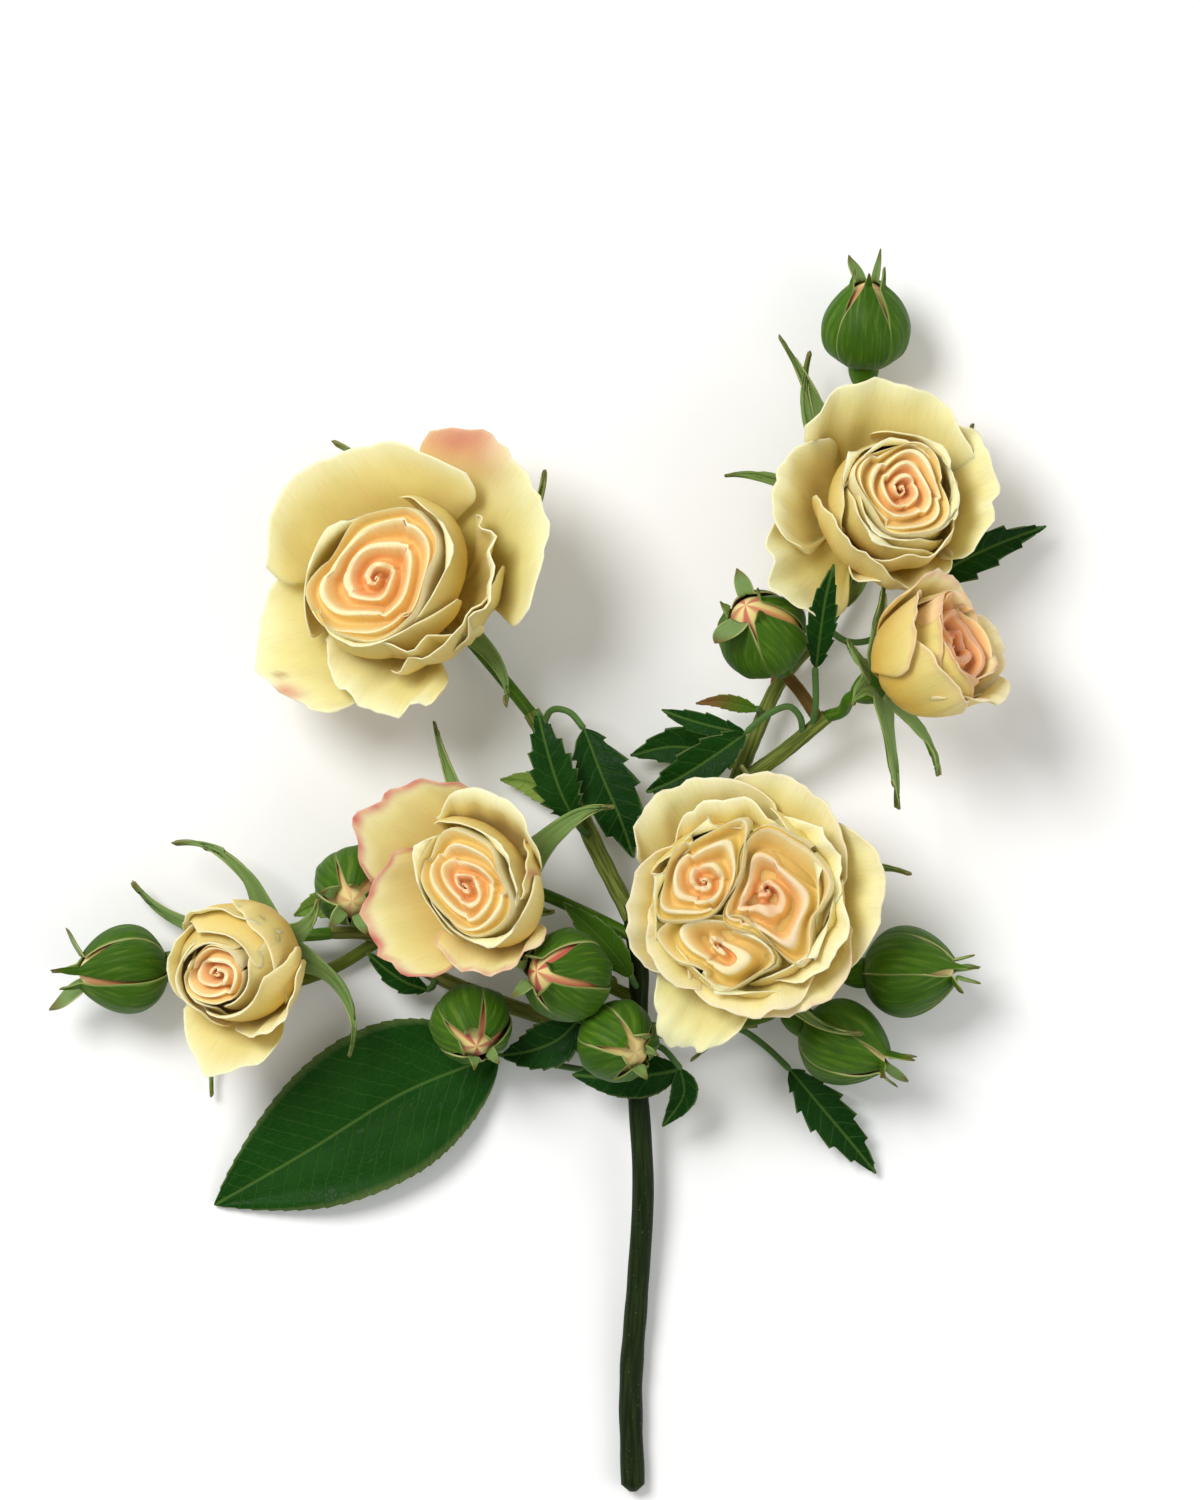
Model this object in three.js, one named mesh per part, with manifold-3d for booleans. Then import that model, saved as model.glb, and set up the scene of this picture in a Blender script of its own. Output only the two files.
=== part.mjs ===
// A cut spray rose lying on a table: one stem with side shoots, six open blooms, nine buds and their leaves.
// Units are millimetres and degrees. The plan's origin is the crown, where the first side shoots leave the
// main stem: +Y runs along the stem to the flowers and +Z is up from the table. The finished group is moved
// so that its own origin is the middle of its underside.
import * as THREE from "three";
import { mergeVertices } from "three/addons/utils/BufferGeometryUtils.js";
import Module from "manifold-3d";

const wasm = await Module();
wasm.setup();

// ---- Driving dimensions ----
const GAP = 0.42; // clearance between pieces that touch on the plant
const STEM_LENGTH = 80.5; // from the cut end to the crown
const STEM_RADIUS = 2.2;
const SHOOT_RADIUS = 1.6;
const PEDICEL_RADIUS = 1.15;
const PETIOLE_RADIUS = 0.6;
const PETAL_THICKNESS = 0.7;
const SEPAL_THICKNESS = 0.7;
const LEAF_THICKNESS = 0.6;
const PETAL_START = 1.7; // radius at which a petal's claw leaves the flower's base
const CLAW_WIDTH = 2; // where a petal leaves the flower's base
const WHORL_DISC_RADIUS = 2.3; // the petals of one whorl join on this disc
const HIP_LENGTH = 6;
const HIP_RADIUS = 3.1;
const BUD_HIP_LENGTH = 5;
const BUD_HIP_RADIUS = 2.8;
const HEART_CLEARANCE = 2.7; // from the inner petals' middle to the rolled heart
const SEPAL_WIDTH = 6.5;
const BUD_STATIONS = [0, 0.04, 0.16, 0.35, 0.55, 0.75, 0.9, 1]; // shares of a bud's height
const BUD_SEPAL_SPREAD = 33; // half of the angle a bud's sepal covers, under a fifth of a half turn
const STALK_SIDES = 6;
const HIP_SIDES = 8;
const FACET_SAG = 0.07; // how far a flat facet cuts inside a round body, as a share of its radius
const SMOOTHING = 0.05; // furthest a joined surface may move to lose its smallest facets

const TURN = Math.PI / 180;
const Z_AXIS = new THREE.Vector3(0, 0, 1);
const vec = (x, y, z) => new THREE.Vector3(x, y, z);
const WHORL_STEP = PETAL_THICKNESS + GAP;

// ---- Solids ----

// A closed three.js geometry as a solid that can be joined and cut.
function solidFrom(geometry) {
  const bare = geometry.index ? geometry.toNonIndexed() : geometry;
  const positions = new THREE.BufferGeometry();
  positions.setAttribute("position", bare.getAttribute("position"));
  const merged = mergeVertices(positions, 1e-4);
  return new wasm.Manifold(
    new wasm.Mesh({
      numProp: 3,
      vertProperties: merged.attributes.position.array,
      triVerts: new Uint32Array(merged.index.array),
    }),
  );
}

// The solid's own triangles as a flat-shaded three.js geometry.
function geometryOf(solid) {
  const mesh = solid.getMesh();
  const geometry = new THREE.BufferGeometry();
  geometry.setAttribute("position", new THREE.BufferAttribute(mesh.vertProperties, mesh.numProp));
  geometry.setIndex(new THREE.BufferAttribute(mesh.triVerts, 1));
  const flat = geometry.toNonIndexed();
  flat.computeVertexNormals();
  return flat;
}

// Solids joined into one, without the crumbs that smoothing can leave.
function joined(solids) {
  const whole = solids.reduce((all, next) => all.add(next)).simplify(SMOOTHING);
  return whole.decompose().reduce((most, body) => (body.volume() > most.volume() ? body : most));
}

// A closed grid of triangles from rows of points; each row is a ring, or an open strip's two sides.
function closedGrid(rings) {
  const count = rings[0].length;
  const points = rings.flat();
  const faces = [];
  for (let row = 0; row + 1 < rings.length; row++) {
    for (let i = 0; i < count; i++) {
      const a = row * count + i;
      const b = row * count + ((i + 1) % count);
      faces.push(a, b, b + count, a, b + count, a + count);
    }
  }
  return { points, faces, count };
}

function indexedGeometry(points, faces) {
  const geometry = new THREE.BufferGeometry().setFromPoints(points);
  geometry.setIndex(faces);
  return geometry;
}

// A sheet of even thickness around surface(u, v), with u from -1 to 1 across it and v from 0 to 1 along it.
function sheet(surface, thickness, across, along) {
  const step = 1e-3;
  const rings = [];
  for (let j = 0; j <= along; j++) {
    const v = j / along;
    const front = [];
    const back = [];
    for (let i = 0; i <= across; i++) {
      const u = -1 + (2 * i) / across;
      const du = surface(Math.min(u + step, 1), v).sub(surface(Math.max(u - step, -1), v));
      const dv = surface(u, Math.min(v + step, 1)).sub(surface(u, Math.max(v - step, 0)));
      const half = du.cross(dv).setLength(thickness / 2);
      const middle = surface(u, v);
      front.push(middle.clone().add(half));
      back.unshift(middle.clone().sub(half));
    }
    rings.push([...front, ...back]);
  }
  const { points, faces, count } = closedGrid(rings);
  const last = (rings.length - 1) * count;
  for (let i = 0; i < across; i++) {
    const far = count - 1 - i;
    faces.push(i, far, i + 1, far, far - 1, i + 1);
    faces.push(last + i, last + i + 1, last + far, last + far, last + i + 1, last + far - 1);
  }
  return solidFrom(indexedGeometry(points, faces));
}

// A round stalk through the points, tapering from one radius to another.
function stalk(points, startRadius, endRadius = startRadius, steps = points.length + 2) {
  const curve = new THREE.CatmullRomCurve3(points.map((p) => (p.isVector3 ? p : vec(...p))));
  const frames = curve.computeFrenetFrames(steps);
  const rings = [];
  for (let j = 0; j <= steps; j++) {
    const centre = curve.getPointAt(j / steps);
    const radius = THREE.MathUtils.lerp(startRadius, endRadius, j / steps);
    const ring = [];
    for (let i = 0; i < STALK_SIDES; i++) {
      const angle = (2 * Math.PI * i) / STALK_SIDES;
      const outward = frames.normals[j].clone().multiplyScalar(Math.cos(angle));
      outward.addScaledVector(frames.binormals[j], Math.sin(angle));
      ring.push(centre.clone().addScaledVector(outward, radius));
    }
    rings.push(ring);
  }
  const { points: corners, faces, count } = closedGrid(rings);
  const last = (rings.length - 1) * count;
  for (let i = 1; i + 1 < count; i++) {
    faces.push(0, i + 1, i, last, last + i, last + i + 1);
  }
  return solidFrom(indexedGeometry(corners, faces));
}

// A turned solid about +Z from [radius, height] pairs that start and end on the axis.
function turned(profile, segments = 10) {
  const geometry = new THREE.LatheGeometry(
    profile.map(([r, z]) => new THREE.Vector2(r, z)),
    segments,
  );
  return solidFrom(geometry.rotateX(Math.PI / 2));
}

// ---- Petals ----

// A petal's or sepal's side view, from its lean: angles from the flower's axis at even steps along it.
function meridian(lean, length, start, rise) {
  const leanAt = (s) => {
    const place = Math.min(Math.max(s, 0), 1) * (lean.length - 1);
    const i = Math.min(Math.floor(place), lean.length - 2);
    return THREE.MathUtils.lerp(lean[i], lean[i + 1], place - i) * TURN;
  };
  const steps = 40;
  const radii = [start];
  const heights = [rise];
  for (let i = 0; i < steps; i++) {
    const angle = leanAt((i + 0.5) / steps);
    radii.push(radii[i] + (length / steps) * Math.sin(angle));
    heights.push(heights[i] + (length / steps) * Math.cos(angle));
  }
  const between = (list, s) => {
    const place = Math.min(Math.max(s, 0), 1) * steps;
    const i = Math.min(Math.floor(place), steps - 1);
    return THREE.MathUtils.lerp(list[i], list[i + 1], place - i);
  };
  return (s) => ({ radius: between(radii, s), height: between(heights, s), lean: leanAt(s) });
}

const fanShape = (s, claw) => claw + (1 - claw) * Math.sin((Math.PI / 2) * Math.min(1, s / 0.62)) ** 2;
const sepalShape = (s) => 0.1 + 0.9 * Math.max(0, 1 - s) ** 1.15 * Math.min(1, 0.5 + s * 2.2);

// The middle surface of one petal or sepal in its flower's frame. cup is how closely it wraps round the axis,
// shoulder rounds its top corners, yaw tucks one edge under its neighbour and drift curls its tip sideways.
function petalSurface(petal) {
  const { azimuth, length, width, lean, rise, cup = 0.9, yaw = 7, shoulder = 0.3, drift = 0 } = petal;
  const side = meridian(lean, length, petal.start ?? PETAL_START, rise);
  const outline = petal.shape ?? fanShape;
  return (u, v) => {
    const s = v * (1 - shoulder * Math.abs(u) ** 2.5);
    const { radius, height, lean: angle } = side(s);
    const reach = u * (width / 2) * outline(s, CLAW_WIDTH / width);
    const bend = (cup * Math.cos(angle)) / Math.max(radius, 2);
    const flat = Math.abs(bend) < 1e-6;
    const across = flat ? reach : Math.sin(reach * bend) / bend;
    const sag = flat ? 0 : (1 - Math.cos(reach * bend)) / bend;
    const out = radius - sag * Math.cos(angle) + across * Math.tan(yaw * TURN);
    const turn = (azimuth + drift * v * v) * TURN;
    return vec(out, across, height + sag * Math.sin(angle)).applyAxisAngle(Z_AXIS, turn);
  };
}

const whorlRise = (level) => PETAL_THICKNESS / 2 + level * WHORL_STEP;

// One whorl of petals, joined at their claws by a small disc. Level 0 is the outermost and lowest.
function whorl(petals, level) {
  const rise = whorlRise(level);
  const disc = new THREE.CylinderGeometry(WHORL_DISC_RADIUS, WHORL_DISC_RADIUS, PETAL_THICKNESS, 10);
  disc.rotateX(Math.PI / 2).translate(0, 0, rise);
  const blades = petals.map((petal) => sheet(petalSurface({ ...petal, rise }), PETAL_THICKNESS, 3, 3));
  return joined([solidFrom(disc), ...blades]);
}

// Joins the two whorls of a compact bloom through the middle.
function whorlPlug() {
  const plug = new THREE.CylinderGeometry(1.2, 1.2, WHORL_STEP, 8);
  return solidFrom(plug.rotateX(Math.PI / 2).translate(0, 0, whorlRise(0) + WHORL_STEP / 2));
}

// Evenly spaced petals, all alike.
const ring = (count, azimuth, petal) =>
  Array.from({ length: count }, (_, i) => ({ ...petal, azimuth: azimuth + (360 * i) / count }));

// The rolled innermost petals as one plain solid that fills the cup of the inner whorl.
function heart(inner, level) {
  const side = meridian(inner.lean, inner.length, PETAL_START, whorlRise(level));
  const floor = whorlRise(level) + PETAL_THICKNESS / 2 + GAP;
  const profile = [[0, floor]];
  for (const s of [0.34, 0.5, 0.66, 0.8]) {
    const { radius, height } = side(s);
    profile.push([radius - HEART_CLEARANCE, height]);
  }
  profile.push([0.55 * profile.at(-1)[0], profile.at(-1)[1] + 1.6]);
  profile.push([0, profile.at(-1)[1] - 1]);
  return turned(profile);
}

// ---- Calyx: pedicel, hip and sepals, which grow as one piece ----

// Five sepals spread below an open bloom. Each is [azimuth, length, middle lean, tip lean, drift, width].
const openSepal = ([azimuth, length, middle, tip, drift = 0, width = SEPAL_WIDTH]) => ({
  azimuth,
  length,
  width,
  drift,
  lean: [84, (84 + middle) / 2, middle, (middle + tip) / 2, tip],
  cup: 0.5,
  yaw: 0,
  shoulder: 0,
  start: HIP_RADIUS - 1,
  rise: -SEPAL_THICKNESS / 2 - GAP,
  shape: sepalShape,
});

function hip(radius, length, top) {
  const profile = [
    [0, top - length],
    [PEDICEL_RADIUS, top - length],
    [radius * 0.72, top - length * 0.75],
    [radius, top - length * 0.35],
    [radius * 0.92, top],
    [0, top],
  ];
  return turned(profile, HIP_SIDES);
}

// The egg-shaped body of a closed bud: its radius at a share of its height.
const budShape = (share) => Math.max(0, Math.sin(Math.PI * share ** 0.82)) ** 0.62 * (1 - 0.12 * share);

const budBody = ({ radius, height }) =>
  turned(BUD_STATIONS.map((share) => [radius * budShape(share), height * share]));

// A sepal that follows a bud's body and then leaves its tip. reach is the share of the body it covers.
function budSepal(bud, { azimuth, reach, tip, tipLean }) {
  const clear = GAP + SEPAL_THICKNESS / 2 + bud.radius * FACET_SAG;
  const free = tip / (bud.height * reach + tip); // the tip's share of the sepal's length
  const bodyPoint = (share) => new THREE.Vector2(bud.radius * budShape(share), bud.height * share);
  const surface = (u, v) => {
    const share = 0.02 + (reach - 0.02) * Math.min(v / (1 - free), 1);
    const beyond = Math.max(0, (v - (1 - free)) / free) * tip;
    const along = bodyPoint(share + 0.01).sub(bodyPoint(share - 0.01)).normalize();
    const skin = bodyPoint(share).addScaledVector(new THREE.Vector2(along.y, -along.x), clear);
    const radius = Math.max(skin.x + beyond * Math.sin(tipLean * TURN), 0.8);
    const height = skin.y + beyond * Math.cos(tipLean * TURN);
    const halfAngle = Math.max(BUD_SEPAL_SPREAD * (1 - v ** 2.2), 25 / radius);
    const angle = (azimuth + u * halfAngle) * TURN;
    return vec(radius * Math.cos(angle), radius * Math.sin(angle), height);
  };
  return sheet(surface, SEPAL_THICKNESS, 2, 5);
}

// ---- Leaves ----

// A blade's half width at a share of its length, widest at the given share.
const bladeShape = (v, widest) => Math.sin(Math.PI * v ** (Math.log(0.5) / Math.log(widest))) ** 0.85;

// One leaflet along its midrib points. fold is the angle of each half above flat; facing is its upper side.
function leaflet({ spine, width, widest = 0.42, fold = 12, facing = [0, 0, 1], along = 6 }) {
  const midrib = new THREE.CatmullRomCurve3(spine.map((p) => vec(...p)));
  const surface = (u, v) => {
    const centre = midrib.getPoint(v);
    const forward = midrib.getTangent(v);
    const side = forward.clone().cross(vec(...facing)).normalize();
    const upper = side.clone().cross(forward);
    const half = Math.max((width / 2) * bladeShape(Math.min(v, 0.985), widest), 0.5);
    centre.addScaledVector(side, u * half * Math.cos(fold * TURN));
    return centre.addScaledVector(upper, Math.abs(u) * half * Math.sin(fold * TURN));
  };
  return sheet(surface, LEAF_THICKNESS, 2, along);
}

// ---- The plant's layout ----

// The main stem runs from its cut end, which rests on the table, up to the crown and on to its top.
const STEM_POINTS = [
  [-0.5, -STEM_LENGTH, STEM_RADIUS],
  [-0.9, -0.76 * STEM_LENGTH, STEM_RADIUS + 0.5],
  [0.3, -0.54 * STEM_LENGTH, STEM_RADIUS + 1.8],
  [1.3, -0.31 * STEM_LENGTH, STEM_RADIUS + 3.8],
  [0, 0, 9],
  [0.5, 14, 11],
  [-1, 27, 11.5],
];

// Limbs in the order they leave one another. Each is cut back from its parent by the gap.
const LIMBS = {
  main_stem: { points: STEM_POINTS, radii: [STEM_RADIUS, SHOOT_RADIUS + 0.1], steps: 18 },
  shoot_left: {
    parent: "main_stem",
    points: [[0.3, 2, 9], [-10, 4, 6], [-24, 8, 3.6], [-37, 13.5, 3.2], [-47, 20.3, 4.5], [-56, 21, 6.5]],
    radii: [SHOOT_RADIUS, PEDICEL_RADIUS],
  },
  shoot_upper_left: {
    parent: "main_stem",
    points: [[-0.4, 23, 11.4], [-8, 38, 9.5], [-15, 54, 8], [-19, 61, 7.5]],
    radii: [SHOOT_RADIUS, SHOOT_RADIUS],
  },
  shoot_right: {
    parent: "main_stem",
    points: [[-0.2, 21, 11.3], [6, 33, 8.5], [17.8, 46.8, 9], [27, 54, 12], [34.6, 60.3, 15]],
    radii: [SHOOT_RADIUS, PEDICEL_RADIUS + 0.2],
  },
  shoot_top: {
    parent: "shoot_right",
    points: [[17.2, 46.2, 9], [21.5, 56.5, 6.6], [26.5, 67, 4.6], [35.5, 77, 4.2]],
    radii: [SHOOT_RADIUS - 0.1, PEDICEL_RADIUS + 0.1],
  },
  shoot_lower_right: {
    parent: "main_stem",
    points: [[0.1, 4, 9.4], [8, 3, 7.5], [17, 4.5, 6.5], [22, 5, 6.2]],
    radii: [SHOOT_RADIUS - 0.2, PEDICEL_RADIUS + 0.1],
  },
};

// Open blooms. at is where the petals leave the hip; tilt leans the axis from straight up towards heading.
// pedicel lists the points between its limb and the hip.
// A guard petal is [azimuth, length, width, lean from claw to lip].
const BLOOMS = {
  bloom_left: {
    at: [-36.7, 80.5, 11.5],
    heading: 147,
    tilt: 20,
    limb: "shoot_upper_left",
    pedicel: [[-18.5, 60, 7.5], [-25, 68, 5.5]],
    guard: [
      [45, 34, 33, [78, 62, 48, 50, 62]],
      [128, 32, 34, [78, 58, 42, 40, 48]],
      [200, 33, 30, [78, 66, 56, 58, 66]],
      [248, 27, 24, [78, 66, 52, 54, 60]],
      [318, 27, 22, [80, 62, 34, 16, 14]],
    ],
    inner: { count: 5, azimuth: 20, length: 27, width: 24, lean: [76, 46, 10, -2, -6] },
    heartLength: 27,
    sepals: [[108, 33, 84, 72], [174, 29, 80, 70], [250, 22, 84, 60], [322, 24, 86, 60], [32, 30, 86, 62]],
  },
  bloom_upper_right: {
    at: [41.8, 94.5, 11.5],
    heading: 43,
    tilt: 18,
    limb: "shoot_top",
    pedicel: [[34, 75.6, 4.3], [37, 81, 4.4]],
    guard: [
      [20, 28, 28, [78, 62, 46, 42, 50]],
      [95, 29, 31, [78, 60, 42, 38, 46]],
      [170, 25, 22, [78, 60, 44, 40, 46]],
      [215, 27, 22, [80, 68, 58, 54, 58]],
      [285, 20, 22, [78, 58, 38, 30, 26]],
    ],
    inner: { count: 5, azimuth: 50, length: 23, width: 21, lean: [76, 44, 10, 0, -4] },
    sepals: [
      [112, 36, 84, 56], [124, 31, 84, 66], [152, 26, 86, 76, 12], [262, 16, 86, 70], [30, 25, 84, 60],
    ],
  },
  bloom_half_open: {
    at: [43.8, 66.2, 25.5],
    compact: true,
    heading: 28,
    tilt: 58,
    limb: "shoot_right",
    pedicel: [[34.2, 60, 14.8], [37, 61, 17.6]],
    guard: [
      [10, 23, 20, [78, 52, 18, 10, 22]],
      [88, 23, 20, [78, 50, 16, 8, 20]],
      [160, 22, 20, [78, 50, 16, 6, 14]],
      [235, 22, 20, [78, 50, 16, 4, 8]],
      [305, 23, 20, [78, 50, 16, 6, 18]],
    ],
    inner: { count: 5, azimuth: 40, length: 20.5, width: 15, lean: [76, 36, 4, -4, -2] },
    sepals: [[88, 17, 60, 34], [150, 8, 84, 100], [200, 9, 90, 110], [262, 22, 92, 120], [318, 18, 84, 110]],
  },
  bloom_centre_left: {
    at: [-23.9, 29.5, 16],
    compact: true,
    heading: 172,
    tilt: 20,
    limb: "main_stem",
    pedicel: [[0.2, 20, 11.2], [-9, 24.5, 9.6], [-17, 28, 8.6]],
    guard: [
      [352, 21, 20, [78, 50, 20, 2, -8]],
      [75, 23, 22, [78, 52, 26, 22, 36]],
      [140, 27, 24, [78, 60, 48, 46, 52]],
      [205, 25, 24, [78, 60, 44, 40, 50]],
      [280, 20, 20, [78, 56, 38, 30, 34]],
    ],
    inner: { count: 5, azimuth: 30, length: 20, width: 18, lean: [76, 40, 8, -4, -8] },
    sepals: [[118, 30, 84, 70], [45, 26, 80, 52], [196, 14, 88, 80], [250, 12, 88, 80], [322, 9, 84, 70]],
  },
  bloom_quartered: {
    at: [20.9, 25.2, 15.5],
    heading: 150,
    tilt: 8,
    limb: "main_stem",
    pedicel: [[0.3, 16, 11.1], [8, 20, 9], [15, 23.5, 7.6]],
    guard: [
      [4, 27, 27, [79, 64, 54, 52, 60]],
      [62, 27, 27, [78, 60, 50, 46, 50]],
      [118, 28, 26, [78, 60, 50, 44, 50]],
      [180, 24, 26, [78, 58, 44, 36, 40]],
      [240, 28, 20, [78, 62, 56, 56, 70]],
      [305, 25, 28, [78, 60, 48, 42, 48]],
    ],
    inner: { count: 6, azimuth: 30, length: 24, width: 21, lean: [76, 50, 22, 4, -8] },
    sepals: [
      [80, 24, 84, 70], [26, 28, 82, 66], [150, 18, 86, 80], [262, 27, 90, 84, 0, 3.4], [288, 28, 88, 74, 24],
    ],
  },
  bloom_small_left: {
    at: [-65.5, 18.4, 12.5],
    compact: true,
    heading: 210,
    tilt: 30,
    limb: "shoot_left",
    pedicel: [[-55, 20.9, 6.4], [-58, 20.6, 6.8]],
    guard: [
      [35, 22, 23, [78, 50, 18, 4, -4]],
      [100, 22, 22, [78, 50, 20, 8, 6]],
      [175, 21, 20, [78, 50, 22, 10, 6]],
      [258, 24, 19, [78, 54, 34, 24, 28]],
      [318, 22, 21, [78, 50, 24, 12, 8]],
    ],
    inner: { count: 5, azimuth: 60, length: 20, width: 16, lean: [76, 38, 6, -6, -14] },
    sepals: [
      [100, 24, 80, 96, 34], [345, 22, 84, 110, -40], [231, 29, 84, 80, 0, 4], [172, 27, 86, 84], [30, 12, 84, 90],
    ],
  },
};

// Closed buds, in the same terms. Each sepal is [reach over the body, free tip, lean of the tip].
const BUDS = {
  bud_top: {
    at: [41.2, 124.3, 8.5],
    heading: 88,
    tilt: 62,
    radius: 7.0,
    height: 15.5,
    limb: "shoot_top",
    pedicel: [[25.2, 64.6, 5], [27, 74, 2.4], [31, 92, 1.5], [37.4, 108, 2.4], [40.4, 117, 4.6]],
    sepals: [[0.95, 6, 10], [0.93, 5, 40], [0.9, 4, -10], [0.96, 3, 20], [0.92, 4, 0]],
    spin: 50,
  },
  bud_upper: {
    at: [24.9, 71, 19],
    heading: 122,
    tilt: 42,
    radius: 7.1,
    height: 15.5,
    limb: "shoot_right",
    pedicel: [[33, 59.2, 14.3], [29.6, 64.4, 14]],
    sepals: [[0.92, 3, 10], [0.9, 5, 50], [0.86, 3, 10], [0.9, 7, 70], [0.88, 3, 20]],
    spin: 30,
  },
  bud_far_left: {
    at: [-85.5, 14.8, 9.5],
    heading: 184,
    tilt: 74,
    radius: 6.9,
    height: 15.5,
    limb: "shoot_left",
    pedicel: [[-46, 19.8, 4.3], [-56, 14, 2.2], [-68, 11, 1.8], [-77, 13.6, 5.6]],
    sepals: [[0.96, 6, 14], [0.9, 6, 60], [0.94, 5, -8], [0.9, 7, 40], [0.94, 4, 6]],
    spin: 20,
  },
  bud_left: {
    at: [-50.4, 31.3, 7.6],
    heading: 262,
    tilt: 20,
    radius: 6.3,
    height: 13,
    limb: "shoot_left",
    pedicel: [[-47, 20.3, 4.5], [-48.8, 26, 1.7], [-50.6, 30, 1.8]],
    sepals: [[0.92, 2.5, 10], [0.9, 3, 20], [0.88, 4, 40], [0.93, 4, 50], [0.9, 4, 50]],
    spin: 10,
  },
  bud_lower_left: {
    at: [-30.4, 7.6, 10.4],
    heading: 285,
    tilt: 32,
    radius: 6.3,
    height: 13,
    limb: "shoot_left",
    pedicel: [[-26, 8.8, 3.5], [-29.3, 10.4, 3.9]],
    sepals: [[0.92, 3, 20], [0.9, 4, 40], [0.88, 4, -10], [0.93, 3, 10], [0.9, 3, 30]],
    spin: 40,
  },
  bud_centre: {
    at: [-8.4, 13, 19],
    heading: 170,
    tilt: 38,
    radius: 7.3,
    height: 15.5,
    limb: "main_stem",
    pedicel: [[0.2, 9, 10.4], [-5, 11.6, 11.2]],
    sepals: [[0.92, 3, 20], [0.94, 4, 0], [0.86, 3, 40], [0.93, 4, 50], [0.9, 5, 30]],
    spin: 16,
  },
  bud_lower_centre: {
    at: [-5.6, 3.2, 16.5],
    heading: 330,
    tilt: 30,
    radius: 6.4,
    height: 12.5,
    limb: "main_stem",
    pedicel: [[0, -3, 8.6], [-3.6, -0.5, 9.2]],
    sepals: [[0.92, 3, 20], [0.9, 4, 20], [0.88, 4, 0], [0.93, 3, 10], [0.9, 3, 30]],
    spin: 0,
  },
  bud_right: {
    at: [42, 13.8, 10.5],
    heading: 2,
    tilt: 78,
    radius: 7.2,
    height: 15.5,
    limb: "shoot_lower_right",
    pedicel: [[14, 3.8, 6.9], [24, 9.6, 6.8], [33, 13.2, 8.6]],
    sepals: [[0.98, 5, 40], [0.96, 4, 10], [0.97, 5, -20], [0.95, 4, 60], [0.98, 4, 20]],
    spin: 8,
  },
  bud_lower_right: {
    at: [31.2, 4.4, 10.5],
    heading: 334,
    tilt: 74,
    radius: 6.8,
    height: 15.5,
    limb: "shoot_lower_right",
    pedicel: [[19, 4.6, 6.4], [24, 6.2, 7.6]],
    sepals: [[0.97, 5, 30], [0.95, 6, 14], [0.97, 6, 60], [0.95, 4, 10], [0.97, 5, 40]],
    spin: 30,
  },
};

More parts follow.
